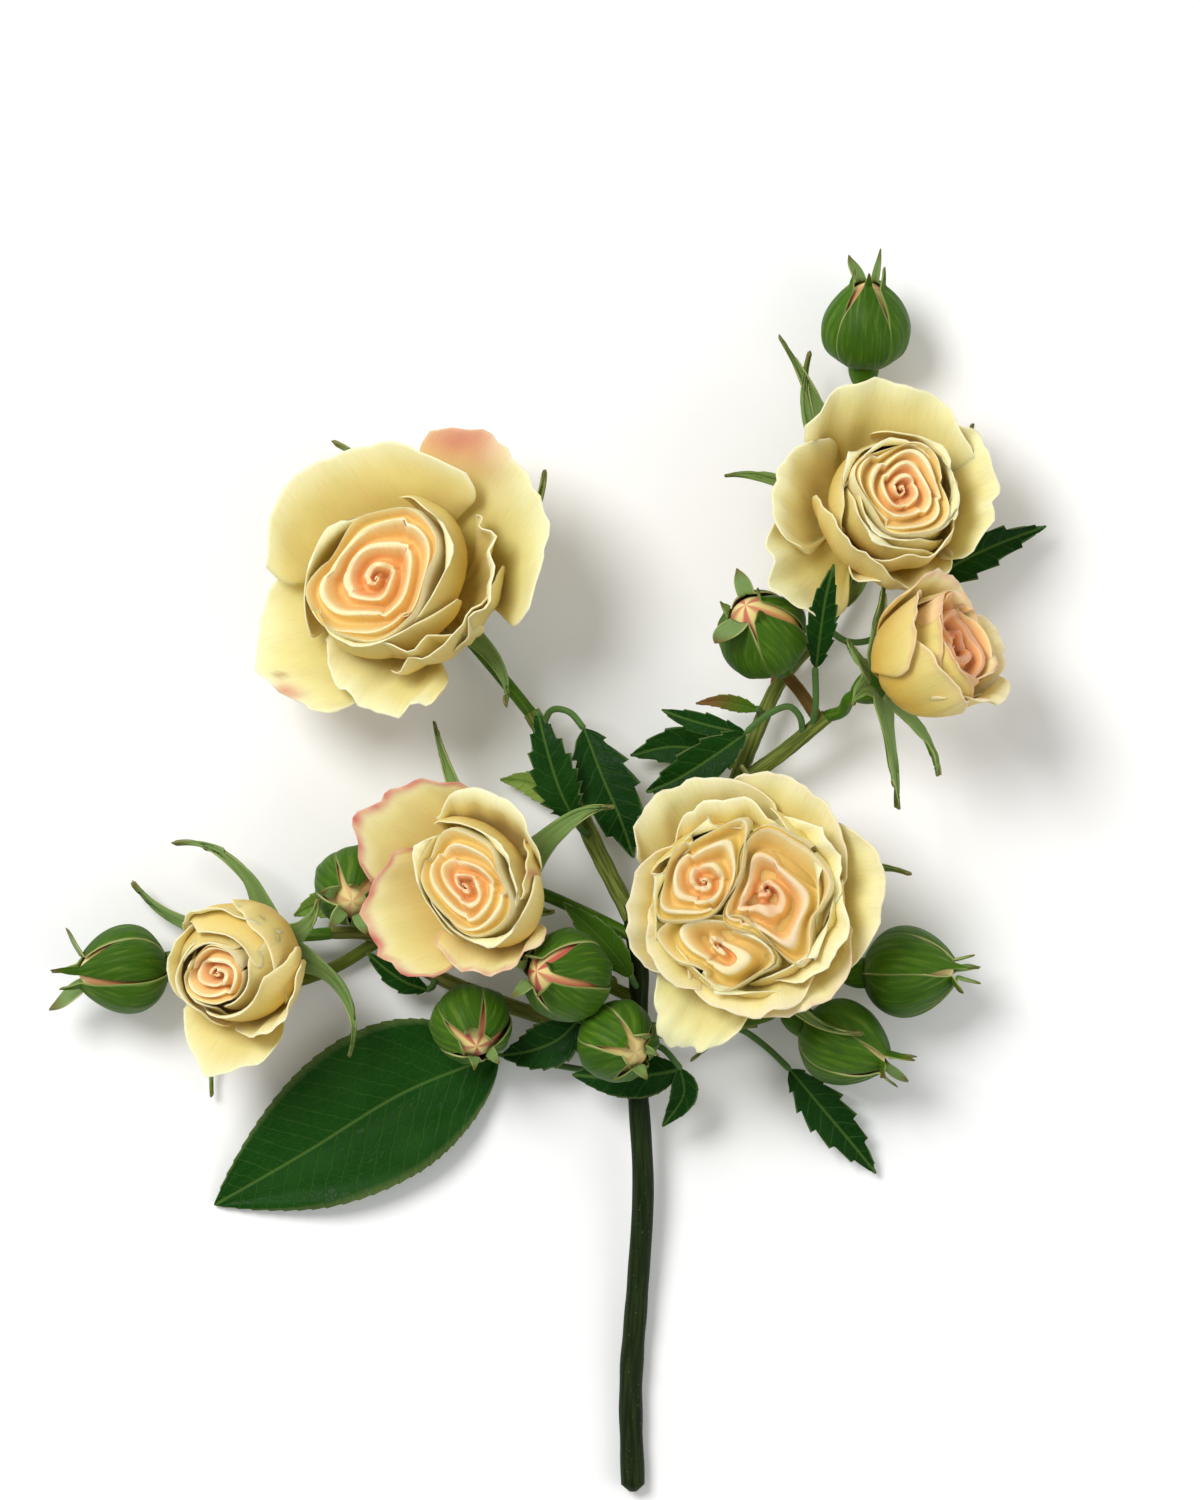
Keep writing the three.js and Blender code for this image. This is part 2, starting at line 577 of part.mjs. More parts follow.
// Leaves and bracts. petiole lists the stalk's points from its limb to the blade's base.
const LEAVES = {
  leaf_large_left: {
    limb: "main_stem",
    petiole: [[-0.2, -5, 8.2], [-9, -4, 4.6], [-25, -1.2, 2.6]],
    blades: [
      { spine: [[-25, -1.2, 2.6], [-42, -8, 4.4], [-60, -19, 3.4], [-76.5, -28.6, 0.9]], width: 28.5, fold: 6 },
    ],
  },
  leaf_centre: {
    limb: "shoot_left",
    petiole: [[-8.4, 3.5, 6.5], [-9.4, 4.4, 9], [-10.6, 5.4, 9.6]],
    blades: [
      { spine: [[-10.4, 5.2, 9.6], [-14, 1.8, 9], [-19, -0.4, 7.4], [-24.5, -1.4, 5.4]], width: 9.5 },
      { spine: [[-10.4, 5.2, 9.6], [-13.6, 10.4, 9.8], [-17.6, 15, 9.6], [-23.5, 18.2, 8.6]], width: 7 },
    ],
  },
  leaf_front: {
    limb: "main_stem",
    petiole: [[0.2, 1, 9.3], [4.5, 0.4, 12.2], [8.2, -3.6, 13.2]],
    blades: [
      { spine: [[8, -3.6, 13.2], [2, -4.6, 13.8], [-5, -5, 12.8], [-11.5, -4.6, 9.8]], width: 8.5, fold: -14 },
      { spine: [[8, -3.4, 13.2], [8.6, -8, 12.2], [4.8, -14, 9.6]], width: 5.5, fold: 20, along: 5 },
    ],
  },
  leaf_fan: {
    limb: "shoot_upper_left",
    petiole: [[-17, 57.8, 7.8], [-15.2, 61.2, 10.6], [-12, 60.8, 12.8], [-9.2, 57.6, 13.5]],
    blades: [{ spine: [[-9.3, 57.7, 13.5], [-6, 49, 15], [-3, 42, 15.6], [-0.4, 34.6, 15.2]], width: 12.5 }],
  },
  leaf_serrated_left: {
    limb: "shoot_upper_left",
    petiole: [[-8, 38, 9.5], [-9.8, 39.6, 13], [-11.2, 41.6, 16]],
    blades: [
      { spine: [[-11.2, 41.5, 16.6], [-13.8, 47, 18.6], [-16, 54, 19.2], [-17.8, 61.3, 18]], width: 9.5 },
    ],
  },
  leaf_forked: {
    limb: "shoot_right",
    petiole: [[30, 56.6, 13.2], [29.4, 60, 16.8], [27.4, 61.8, 18.4], [24, 60.6, 18], [19.3, 56.8, 17]],
    blades: [
      { spine: [[19.6, 57, 17], [14, 58.2, 16.6], [9, 59.6, 15.8], [4.6, 61.2, 14.6]], width: 4.6 },
      { spine: [[19.6, 57, 17], [14, 53, 16.4], [7, 48.6, 15.4], [1.8, 46.4, 14.4]], width: 8.5 },
    ],
  },
  leaf_back: {
    limb: "shoot_top",
    petiole: [[18.8, 50, 8], [16.6, 52.6, 6.4]],
    blades: [{ spine: [[17, 52.2, 6.6], [12, 54, 5.6], [6, 54.6, 5.2], [-1, 53, 4.4]], width: 9 }],
  },
  leaf_right: {
    limb: "shoot_top",
    petiole: [[34.6, 76, 4.3], [38.5, 73.6, 5.2], [43.5, 74.4, 6.6], [50, 81.8, 8.5]],
    blades: [{ spine: [[49.8, 81.6, 8.4], [57, 87, 9.4], [65, 91, 9], [74.2, 94.5, 7]], width: 8 }],
  },
  bract_upper: {
    limb: "shoot_right",
    petiole: [[31.6, 58, 13.8], [32.2, 62, 18.4], [32, 69, 22.4]],
    blades: [{ spine: [[32.2, 68.8, 22.3], [32.8, 75, 27.4], [33.6, 81, 31.4], [35, 87, 34]], width: 6 }],
  },
  leaf_lower_right: {
    limb: "shoot_lower_right",
    petiole: [[16, 4.3, 6.6], [19.4, 3.2, 4.8], [23.6, 0.2, 3.8], [28.2, -4.2, 3.6]],
    blades: [{ spine: [[28, -4, 3.6], [33, -10, 4.4], [38.4, -16.4, 3.8], [43.6, -22.8, 2]], width: 8.6 }],
  },
  bract_left: {
    limb: "shoot_left",
    petiole: [[-36.6, 13.3, 3.2], [-36.8, 11.2, 5.2], [-38, 10.6, 6.2]],
    blades: [
      { spine: [[-37.8, 10.6, 6.2], [-41.6, 12, 7.4], [-45.2, 14.4, 8], [-48.8, 17.6, 8]], width: 5 },
    ],
  },
  bract_centre: {
    limb: "main_stem",
    petiole: [[0.3, 11, 10.8], [-0.4, 12.2, 14], [-1, 13.6, 15.2]],
    blades: [
      { spine: [[-0.8, 13.2, 15], [-4.4, 18, 16], [-8.6, 22.4, 16], [-13.2, 26.6, 15]], width: 6.5, fold: 26 },
    ],
  },
  bract_far_left: {
    limb: "shoot_left",
    petiole: [[-45, 19, 4.2], [-46.6, 21.8, 6.4], [-50.2, 25.2, 5.8]],
    blades: [
      { spine: [[-50, 24.8, 5.6], [-54, 26.2, 5.6], [-58.2, 25.8, 6.4], [-61.8, 24, 7]], width: 6 },
    ],
  },
  leaf_pale_back: {
    limb: "shoot_upper_left",
    petiole: [[-6.4, 35.2, 9.8], [-9.8, 40.4, 5.8], [-12, 43.4, 4.6]],
    blades: [
      { spine: [[-11.8, 43.2, 4.6], [-16, 46.4, 4.4], [-20, 48.2, 4], [-24.6, 48.6, 3.2]], width: 5.4 },
    ],
  },
  shoot_tip: {
    limb: "shoot_top",
    petiole: [[23, 60, 6], [21.8, 61.6, 9]],
    blades: [
      { spine: [[22, 61.2, 8.6], [18.6, 62.2, 9.6], [15, 62.8, 9.8], [10.8, 62.4, 9.4]], width: 3.2 },
    ],
  },
};

// ---- Assembly ----

const plant = new THREE.Group();
const solids = {};

const MATERIALS = {
  petal: { color: 0xf3e3a3, roughness: 0.55, metalness: 0 },
  heart: { color: 0xf4b27a, roughness: 0.55, metalness: 0 },
  green: { color: 0x5c8a2c, roughness: 0.6, metalness: 0 },
  leaf: { color: 0x1f4a1c, roughness: 0.45, metalness: 0 },
  stem: { color: 0x3b4f22, roughness: 0.6, metalness: 0 },
};

function addMesh(name, solid, finish, parent = plant) {
  const mesh = new THREE.Mesh(geometryOf(solid), new THREE.MeshStandardMaterial(MATERIALS[finish]));
  mesh.name = name;
  parent.add(mesh);
}

// What a limb keeps clear: the limb itself, thicker by the gap.
function limbCutter(name) {
  const { points, radii, steps } = LIMBS[name];
  return stalk(points, radii[0] + GAP, radii[1] + GAP, steps);
}

for (const [name, { parent, points, radii, steps }] of Object.entries(LIMBS)) {
  const whole = stalk(points, radii[0], radii[1], steps);
  solids[name] = parent ? whole.subtract(limbCutter(parent)) : whole;
  addMesh(name, solids[name], "stem");
}

// A group at a flower's base whose +Z is the flower's own axis.
function flowerFrame({ at, heading, tilt }) {
  const frame = new THREE.Group();
  frame.position.set(...at);
  const hinge = vec(-Math.sin(heading * TURN), Math.cos(heading * TURN), 0);
  frame.quaternion.setFromAxisAngle(hinge, tilt * TURN);
  frame.updateMatrix();
  plant.add(frame);
  return frame;
}

// The flower's stalk in its own frame: from its limb, through the listed points, up into the hip.
function pedicelIn(frame, { limb, pedicel }, hipBottom) {
  const inward = frame.matrix.clone().invert();
  const local = (p) => p.clone().applyMatrix4(inward);
  const path = pedicel.map((p) => local(vec(...p)));
  path.push(vec(0, 0, hipBottom - 1), vec(0, 0, hipBottom + 1));
  const cutter = limbCutter(limb).transform(inward.toArray());
  return stalk(path, PEDICEL_RADIUS).subtract(cutter);
}

for (const [name, bloom] of Object.entries(BLOOMS)) {
  const frame = flowerFrame(bloom);
  const guard = bloom.guard.map(([azimuth, length, width, lean]) => ({ azimuth, length, width, lean }));
  const { count, azimuth, ...inner } = bloom.inner;
  const top = -GAP;
  const calyx = joined([
    hip(HIP_RADIUS, HIP_LENGTH, top),
    ...bloom.sepals.map((s) => sheet(petalSurface(openSepal(s)), SEPAL_THICKNESS, 2, 4)),
    pedicelIn(frame, bloom, top - HIP_LENGTH),
  ]);
  addMesh(name + "_calyx", calyx, "green", frame);
  const outerWhorl = whorl(guard, 0);
  const innerWhorl = whorl(ring(count, azimuth, inner), 1);
  if (bloom.compact) {
    addMesh(name + "_petals", joined([outerWhorl, innerWhorl, whorlPlug()]), "petal", frame);
  } else {
    addMesh(name + "_guard_petals", outerWhorl, "petal", frame);
    addMesh(name + "_inner_petals", innerWhorl, "petal", frame);
  }
  addMesh(name + "_heart", heart(inner, 1), "heart", frame);
}

for (const [name, bud] of Object.entries(BUDS)) {
  const frame = flowerFrame(bud);
  const sepals = bud.sepals.map(([reach, tip, tipLean], i) =>
    budSepal(bud, { azimuth: bud.spin + 72 * i, reach, tip, tipLean }),
  );
  const calyx = joined([
    hip(BUD_HIP_RADIUS, BUD_HIP_LENGTH, -GAP),
    ...sepals,
    pedicelIn(frame, bud, -GAP - BUD_HIP_LENGTH),
  ]);
  addMesh(name + "_calyx", calyx, "green", frame);
  addMesh(name + "_petals", budBody(bud), "petal", frame);
}

for (const [name, { limb, petiole, blades }] of Object.entries(LEAVES)) {
  const stem = stalk(petiole, PETIOLE_RADIUS);
  const leaf = joined([stem, ...blades.map(leaflet)]).subtract(limbCutter(limb));
  addMesh(name, leaf, "leaf");
}

// The row origin is the middle of the underside.
const part = new THREE.Group();
part.add(plant);
const extent = new THREE.Box3().setFromObject(plant, true);
const centre = extent.getCenter(vec(0, 0, 0));
plant.position.set(-centre.x, -centre.y, -extent.min.z);

export default part;
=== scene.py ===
"""The looks of a cut spray rose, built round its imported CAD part.

Lengths here are in millimetres and angles in degrees, in the plan that the CAD part was laid out in: its
origin is the crown, +Y runs along the stem to the flowers and +Z is up from the table. The pieces are moved
into the row frame, in metres, as they are made. Each piece stands for one CAD node.
"""

import math

import bpy
import numpy as np
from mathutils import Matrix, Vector


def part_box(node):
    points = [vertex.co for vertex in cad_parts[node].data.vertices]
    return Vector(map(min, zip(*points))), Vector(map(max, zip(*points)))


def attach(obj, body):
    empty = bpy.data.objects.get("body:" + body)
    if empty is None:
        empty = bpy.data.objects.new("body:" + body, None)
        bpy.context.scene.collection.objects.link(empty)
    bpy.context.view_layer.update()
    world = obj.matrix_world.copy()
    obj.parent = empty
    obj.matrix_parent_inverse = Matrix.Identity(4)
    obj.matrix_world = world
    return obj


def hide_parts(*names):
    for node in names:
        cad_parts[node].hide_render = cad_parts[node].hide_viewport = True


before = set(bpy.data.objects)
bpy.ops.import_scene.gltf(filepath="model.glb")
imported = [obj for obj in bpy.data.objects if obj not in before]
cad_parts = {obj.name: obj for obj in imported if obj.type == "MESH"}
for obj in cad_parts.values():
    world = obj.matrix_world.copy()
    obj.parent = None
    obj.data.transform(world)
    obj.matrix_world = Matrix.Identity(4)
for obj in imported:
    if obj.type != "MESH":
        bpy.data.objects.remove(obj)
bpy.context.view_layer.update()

# ---- Driving dimensions, as in the CAD part ----
GAP = 0.42
STEM_LENGTH = 80.5
STEM_RADIUS = 2.2
SHOOT_RADIUS = 1.6
PEDICEL_RADIUS = 1.15
PETIOLE_RADIUS = 0.6
PETAL_START = 1.7
CLAW_WIDTH = 2
HIP_LENGTH = 6
HIP_RADIUS = 3.1
BUD_HIP_LENGTH = 5
BUD_HIP_RADIUS = 2.8
SEPAL_WIDTH = 6.5
BUD_SEPAL_SPREAD = 39

# ---- The thinness of the real tissue ----
PETAL_THICKNESS = 0.32
NEST = 0.75  # how much smaller each ring of heart petals is than the ring round it
SEPAL_THICKNESS = 0.4
LEAF_THICKNESS = 0.34

# ---- The picture ----
FRAME_HEIGHT = 270  # what the camera sees from bottom to top
FRAME_CENTRE = (-6.5, 54)
FRAME_LEVEL = 14  # the height in the plan at which the frame has that size
LENS = 200
SENSOR = 36
WORLD_STRENGTH = 0.46

# ---- The detail of the meshes ----
SHEET_RIM = 0.45  # a sheet's thickness at its rim, as a share of the rest
STALK_END = 0.3  # a stalk's radius at its closed ends, as a share of the rest
SIDE_STEPS = 225  # points in a petal's side view
SIDE_REACH = 1.12  # how far past its length a petal's side view goes on, for a rim that runs out
WAVES_ADDED = 3

MM = 0.001
RED, BROWN, PALE = 0, 1, 2  # the kinds of mark
# The main stem's lowest corner in the plan, which ties the plan to the row frame.
STEM_CORNER = (-3.039, -80.572, 0.295)
PLAN_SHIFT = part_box("main_stem")[0] - Vector(STEM_CORNER) * MM


def smoothstep(low, high, x):
    t = np.clip((x - low) / (high - low), 0, 1)
    return t * t * (3 - 2 * t)


def polar(radius, turn, height):
    """Points about an upright axis."""
    return np.stack([radius * np.cos(turn), radius * np.sin(turn), height], -1)


# ---- Meshes made of thin sheets, tubes and turned bodies ----


class Tissue:
    """Gathers patches of a plant's skin into one mesh, with what its materials read at each point.

    skin is (across mm, along mm, a number of the patch's own), tone is (along, across, warmth, back) from 0
    to 1 and mark is (red, brown, pale) from 0 to 1.
    """

    def __init__(self):
        self.points = []
        self.skins = []
        self.tones = []
        self.marks = []
        self.faces = []
        self.count = 0

    def patch(self, points, skin, tone, mark, faces):
        self.points.append(points.reshape(-1, 3))
        self.skins.append(skin.reshape(-1, 3))
        self.tones.append(tone.reshape(-1, 4))
        self.marks.append(mark.reshape(-1, 3))
        self.faces.append(faces + self.count)
        self.count += points.reshape(-1, 3).shape[0]

    def sheet(self, points, thickness, skin, tone, mark):
        """A closed sheet round a grid of points, thinner at its rim. Its first side keeps back = 0."""
        rows, columns = points.shape[:2]
        normal = grid_normals(points)
        rim = np.ones((rows, columns))
        rim[-1] = SHEET_RIM
        rim[:, 0] = rim[:, -1] = SHEET_RIM
        half = (rim * thickness / 2)[..., None] * normal
        back_tone = tone.copy()
        back_tone[..., 3] = 1
        quads = grid_faces(rows, columns)
        size = rows * columns
        index = np.arange(size).reshape(rows, columns)
        border = np.concatenate([index[0, :-1], index[:-1, -1], index[-1, :0:-1], index[:0:-1, 0]])
        onward = np.roll(border, -1)
        edge = np.stack([onward + size, border + size, border, onward], axis=1)
        faces = np.concatenate([quads[:, ::-1], quads + size, edge])
        self.patch(
            np.stack([points + half, points - half]),
            np.stack([skin, skin]),
            np.stack([tone, back_tone]),
            np.stack([mark, mark]),
            faces,
        )

    def tube(self, points, radii, warmth, sides=14, red=0.0, seed=0.0):
        """A round stalk along the points, with closed ends."""
        points = np.asarray(points, float)
        radii = np.broadcast_to(np.asarray(radii, float), len(points))
        tangent = np.gradient(points, axis=0)
        tangent /= np.linalg.norm(tangent, axis=1)[:, None]
        side = perpendicular_frames(tangent)
        other = np.cross(tangent, side)
        turn = np.linspace(0, 2 * math.pi, sides, endpoint=False)
        ring = np.cos(turn)[None, :, None] * side[:, None] + np.sin(turn)[None, :, None] * other[:, None]
        grid = points[:, None] + radii[:, None, None] * ring
        for end in (0, -1):
            grid[end] = points[end] + STALK_END * radii[end] * ring[end]
        distance = np.concatenate([[0], np.cumsum(np.linalg.norm(np.diff(points, axis=0), axis=1))])
        skin = round_skin(turn, radii.mean(), distance[:, None] * np.ones(sides), seed)
        mark = np.zeros(grid.shape)
        mark[..., RED] = red
        self.round_body(grid, skin, warmth, mark)

    def turned(self, profile, to_plan, warmth, segments=28, seed=0.0, marks=None):
        """A turned body about the flower's own axis, from (radius, height) pairs that run upwards.

        marks gives what is marked on it from the turn and the share of the way up at each point.
        """
        profile = np.asarray(profile, float)
        turn = np.linspace(0, 2 * math.pi, segments, endpoint=False)
        height = profile[:, 1][:, None] * np.ones(segments)
        grid = polar(profile[:, 0][:, None], turn, height)
        along = np.linspace(0, 1, len(profile))[:, None] * np.ones(segments)
        mark = np.zeros(grid.shape) if marks is None else marks(turn[None, :] + 0 * along, along)
        skin = round_skin(turn, profile[:, 0].max(), height, seed)
        self.round_body(to_plan(grid), skin, warmth, mark)

    def round_body(self, grid, skin, warmth, mark):
        """A closed body from rings of points."""
        rows, sides = grid.shape[:2]
        along = np.linspace(0, 1, rows)[:, None] * np.ones(sides)
        tone = np.stack([along, 0 * along, np.full_like(along, warmth), 0 * along + 1], -1)
        self.patch(grid, skin, tone, mark, closed_faces(rows, sides))

    def piece(self, name, node, material, slot):
        """The finished mesh as one piece that stands for a CAD node."""
        mesh = bpy.data.meshes.new(name)
        points = np.concatenate(self.points) * MM + np.array(PLAN_SHIFT)
        faces = np.concatenate(self.faces)
        mesh.from_pydata(points.tolist(), [], faces.tolist())
        mesh.update()
        mesh.shade_smooth()
        add_attribute(mesh, "skin", "FLOAT_VECTOR", "vector", np.concatenate(self.skins))
        add_attribute(mesh, "tone", "FLOAT_COLOR", "color", np.concatenate(self.tones))
        marks = np.concatenate(self.marks)
        opaque = np.concatenate([marks, np.ones((len(marks), 1))], axis=1)
        add_attribute(mesh, "mark", "FLOAT_COLOR", "color", opaque)
        mesh.materials.append(material)
        piece = bpy.data.objects.new(name, mesh)
        bpy.context.scene.collection.objects.link(piece)
        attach(piece, "root")
        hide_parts(node)
        return piece


def round_skin(turn, radius, along, seed):
    """Patch coordinates with no seam round a stalk or a turned body."""
    across = radius * np.cos(turn) + 0 * along
    return np.stack([across, along, seed + 0.4 * radius * np.sin(turn) + 0 * along], -1)


def add_attribute(mesh, name, kind, field, values):
    attribute = mesh.attributes.new(name, kind, "POINT")
    attribute.data.foreach_set(field, values.astype(np.float32).ravel())


def grid_normals(points):
    along, across = np.gradient(points, axis=0), np.gradient(points, axis=1)
    normal = np.cross(along, across)
    return normal / np.maximum(np.linalg.norm(normal, axis=-1, keepdims=True), 1e-9)


def grid_faces(rows, columns):
    index = np.arange(rows * columns).reshape(rows, columns)
    corners = [index[:-1, :-1], index[:-1, 1:], index[1:, 1:], index[1:, :-1]]
    return np.stack([c.ravel() for c in corners], axis=1)


def closed_faces(rows, sides):
    """The quads of a tube's grid, with a fan of quads over each end."""
    index = np.arange(rows * sides).reshape(rows, sides)
    onward = np.roll(index, -1, axis=1)
    walls = [index[:-1], onward[:-1], onward[1:], index[1:]]
    faces = [np.stack([c.ravel() for c in walls], axis=1)]
    half = sides // 2
    for row, flip in ((index[0], True), (index[-1], False)):
        for i in range(half - 1):
            quad = [row[i], row[i + 1], row[sides - 2 - i], row[sides - 1 - i]]
            faces.append(np.array([quad[::-1] if flip else quad]))
    return np.concatenate(faces)


def perpendicular_frames(tangent):
    """A side direction at each point of a path that doesn't twist about it."""
    start = np.cross(tangent[0], [0, 0, 1])
    if np.linalg.norm(start) < 0.1:
        start = np.cross(tangent[0], [0, 1, 0])
    sides = [start / np.linalg.norm(start)]
    for direction in tangent[1:]:
        side = sides[-1] - direction * np.dot(sides[-1], direction)
        sides.append(side / np.linalg.norm(side))
    return np.array(sides)


def path_through(points, steps):
    """Points on a smooth curve through the given ones, the same curve as in the CAD part."""
    given = np.asarray(points, float)
    padded = np.concatenate([[2 * given[0] - given[1]], given, [2 * given[-1] - given[-2]]])
    found = []
    for place in np.linspace(0, len(given) - 1, steps):
        i = min(int(place), len(given) - 2)
        t = place - i
        p0, p1, p2, p3 = padded[i : i + 4]
        d0, d1, d2 = (math.sqrt(np.linalg.norm(b - a)) for a, b in ((p0, p1), (p1, p2), (p2, p3)))
        start = d1 * ((p1 - p0) / d0 - (p2 - p0) / (d0 + d1) + (p2 - p1) / d1)
        end = d1 * ((p2 - p1) / d1 - (p3 - p1) / (d1 + d2) + (p3 - p2) / d2)
        c2 = -3 * p1 + 3 * p2 - 2 * start - end
        c3 = 2 * p1 - 2 * p2 + start + end
        found.append(p1 + start * t + c2 * t * t + c3 * t**3)
    return np.array(found)


def flower_frame(at, heading, tilt):
    """Takes points from a flower's own frame to the plan: its axis leans by tilt towards heading."""
    h, t = math.radians(heading), math.radians(tilt)
    x, y = -math.sin(h), math.cos(h)
    c, s = math.cos(t), math.sin(t)
    turn = np.array(
        [
            [c + x * x * (1 - c), x * y * (1 - c), y * s],
            [x * y * (1 - c), c + y * y * (1 - c), -x * s],
            [-y * s, x * s, c],
        ]
    )
    return lambda points: points @ turn.T + np.array(at, float)


def waves(u, v, seed):
    """Smooth uneven waves from about -1 to 1, the same for the same seed."""
    dice = np.random.default_rng(seed)
    total = 0
    for _ in range(WAVES_ADDED):
        a, b = dice.uniform(1.5, 6.5), dice.uniform(0.5, 3.5)
        total = total + np.sin(a * u + b * v * 2 + dice.uniform(0, 6.3)) * dice.uniform(0.5, 1)
    return total / WAVES_ADDED


# ---- Petals and sepals ----

def leaning(lean, length, start, rise, curl=0.0):
    """A petal's side view from its lean, the angles from the flower's axis at even steps along it.

    It is shares of the length, with the radius, height and angle at each, and then the length.
    """
    s = np.linspace(0, SIDE_REACH, SIDE_STEPS)
    angle = np.interp(s, np.linspace(0, 1, len(lean)), lean)
    angle = np.radians(angle + curl * smoothstep(0.78, 1.0, s) ** 2)
    step = length * (s[1] - s[0])
    radius = start + np.concatenate([[0], np.cumsum(np.sin(angle[:-1]) * step)])
    height = rise + np.concatenate([[0], np.cumsum(np.cos(angle[:-1]) * step)])
    return s, radius, height, angle, length


def cupped(radius, height, flare=0.5, bulge=0.25, start=1.2, rise=0.8):
    """The side view of an inner petal that swells past its radius, closes to it and flares at its lip."""
    s = np.linspace(0, SIDE_REACH, SIDE_STEPS)
    swell = np.sin(math.pi / 2 * np.minimum(s / 0.6, 1)) ** 0.75
    lip = smoothstep(0.88, 1.03, s) ** 1.5
    belly = radius * (1 + bulge)
    closing = (belly - radius) * smoothstep(0.55, 0.98, s)
    r = start + (belly - start) * swell - closing + flare * lip
    z = rise + (height - rise) * np.minimum(s, 1.0) ** 0.85 - 0.5 * flare * smoothstep(0.93, 1.06, s)
    angle = np.arctan2(np.gradient(r), np.maximum(np.gradient(z), -9))
    return s, r, z, angle, math.hypot(radius, height)


def fan_outline(s, width):
    """A petal's width at each share of its length, from a narrow claw to a broad top."""
    claw = CLAW_WIDTH / width
    return claw + (1 - claw) * np.sin(math.pi / 2 * np.minimum(1, s / 0.62)) ** 2


def even_outline(s, width):
    """The same for a broad inner petal, whatever its width."""
    claw = 0.3
    return claw + (1 - claw) * np.sin(math.pi / 2 * np.minimum(1, s / 0.5))


def sepal_outline(s, width):
    """The same for a sepal, which tapers to a point."""
    taper = np.maximum(0, 1 - s) ** 1.15 * np.minimum(1, 0.62 + s * 2.2)
    return 0.05 + 0.95 * taper * (1 + 0.12 * np.sin(9 * s + 1))


def petal_lattice(rows, columns):
    """The shares across (-1 to 1) and along (0 to 1) a petal, closer together towards its rim."""
    even = np.linspace(-1, 1, columns)
    u = 0.55 * np.sin(math.pi / 2 * even) + 0.45 * even
    v = 1 - (1 - np.linspace(0, 1, rows)) ** 1.35
    return u[None, :] * np.ones((rows, 1)), v[:, None] * np.ones((1, columns))


def petal_lift(u, v, ruffle, pleats, roll, keel, seed):
    """How far each point of a petal stands off its smooth surface."""
    sides = np.abs(u)
    rim = np.maximum(smoothstep(0.5, 1, v), smoothstep(0.55, 1, sides) * smoothstep(0.2, 0.6, v))
    lift = 1.5 * ruffle * rim * waves(3.0 * u, 1.6 * v, seed)
    lift = lift + pleats * v * waves(2.4 * u, 0.4 * v, seed + 2)
    lift = lift - roll * sides**3.5 * smoothstep(0.25, 0.8, v)
    return lift - keel * np.exp(-((u / 0.2) ** 2)) * (1 - v)


def petal_marks(u, v, blush, spots, seed):
    """What is marked on a petal: its blushing edge, its pale rim (partly its own paler margin, partly a
    painted highlight) and its spots.

    A spot is (the kind of mark, where across, where along, its two sizes, strength).
    """
    sides = np.abs(u)
    edge = np.maximum(smoothstep(0.9, 1, v), smoothstep(0.9, 1, sides) * smoothstep(0.4, 0.8, v))
    rim = np.maximum(smoothstep(0.97, 1, v), smoothstep(0.95, 1, sides) * smoothstep(0.5, 0.8, v))
    mark = np.zeros((*u.shape, 3))
    mark[..., RED] = blush * edge * (0.75 + 0.5 * waves(4 * u, 3 * v, seed + 9))
    # The pale rim: partly the petal's own paler margin, partly a painted highlight.
    mark[..., PALE] = 0.35 * rim
    for kind, spot_u, spot_v, size_u, size_v, strength in spots:
        glow = np.exp(-(((u - spot_u) / size_u) ** 2) - ((v - spot_v) / size_v) ** 2)
        mark[..., kind] = np.maximum(mark[..., kind], strength * glow)
    return np.clip(mark, 0, 1)


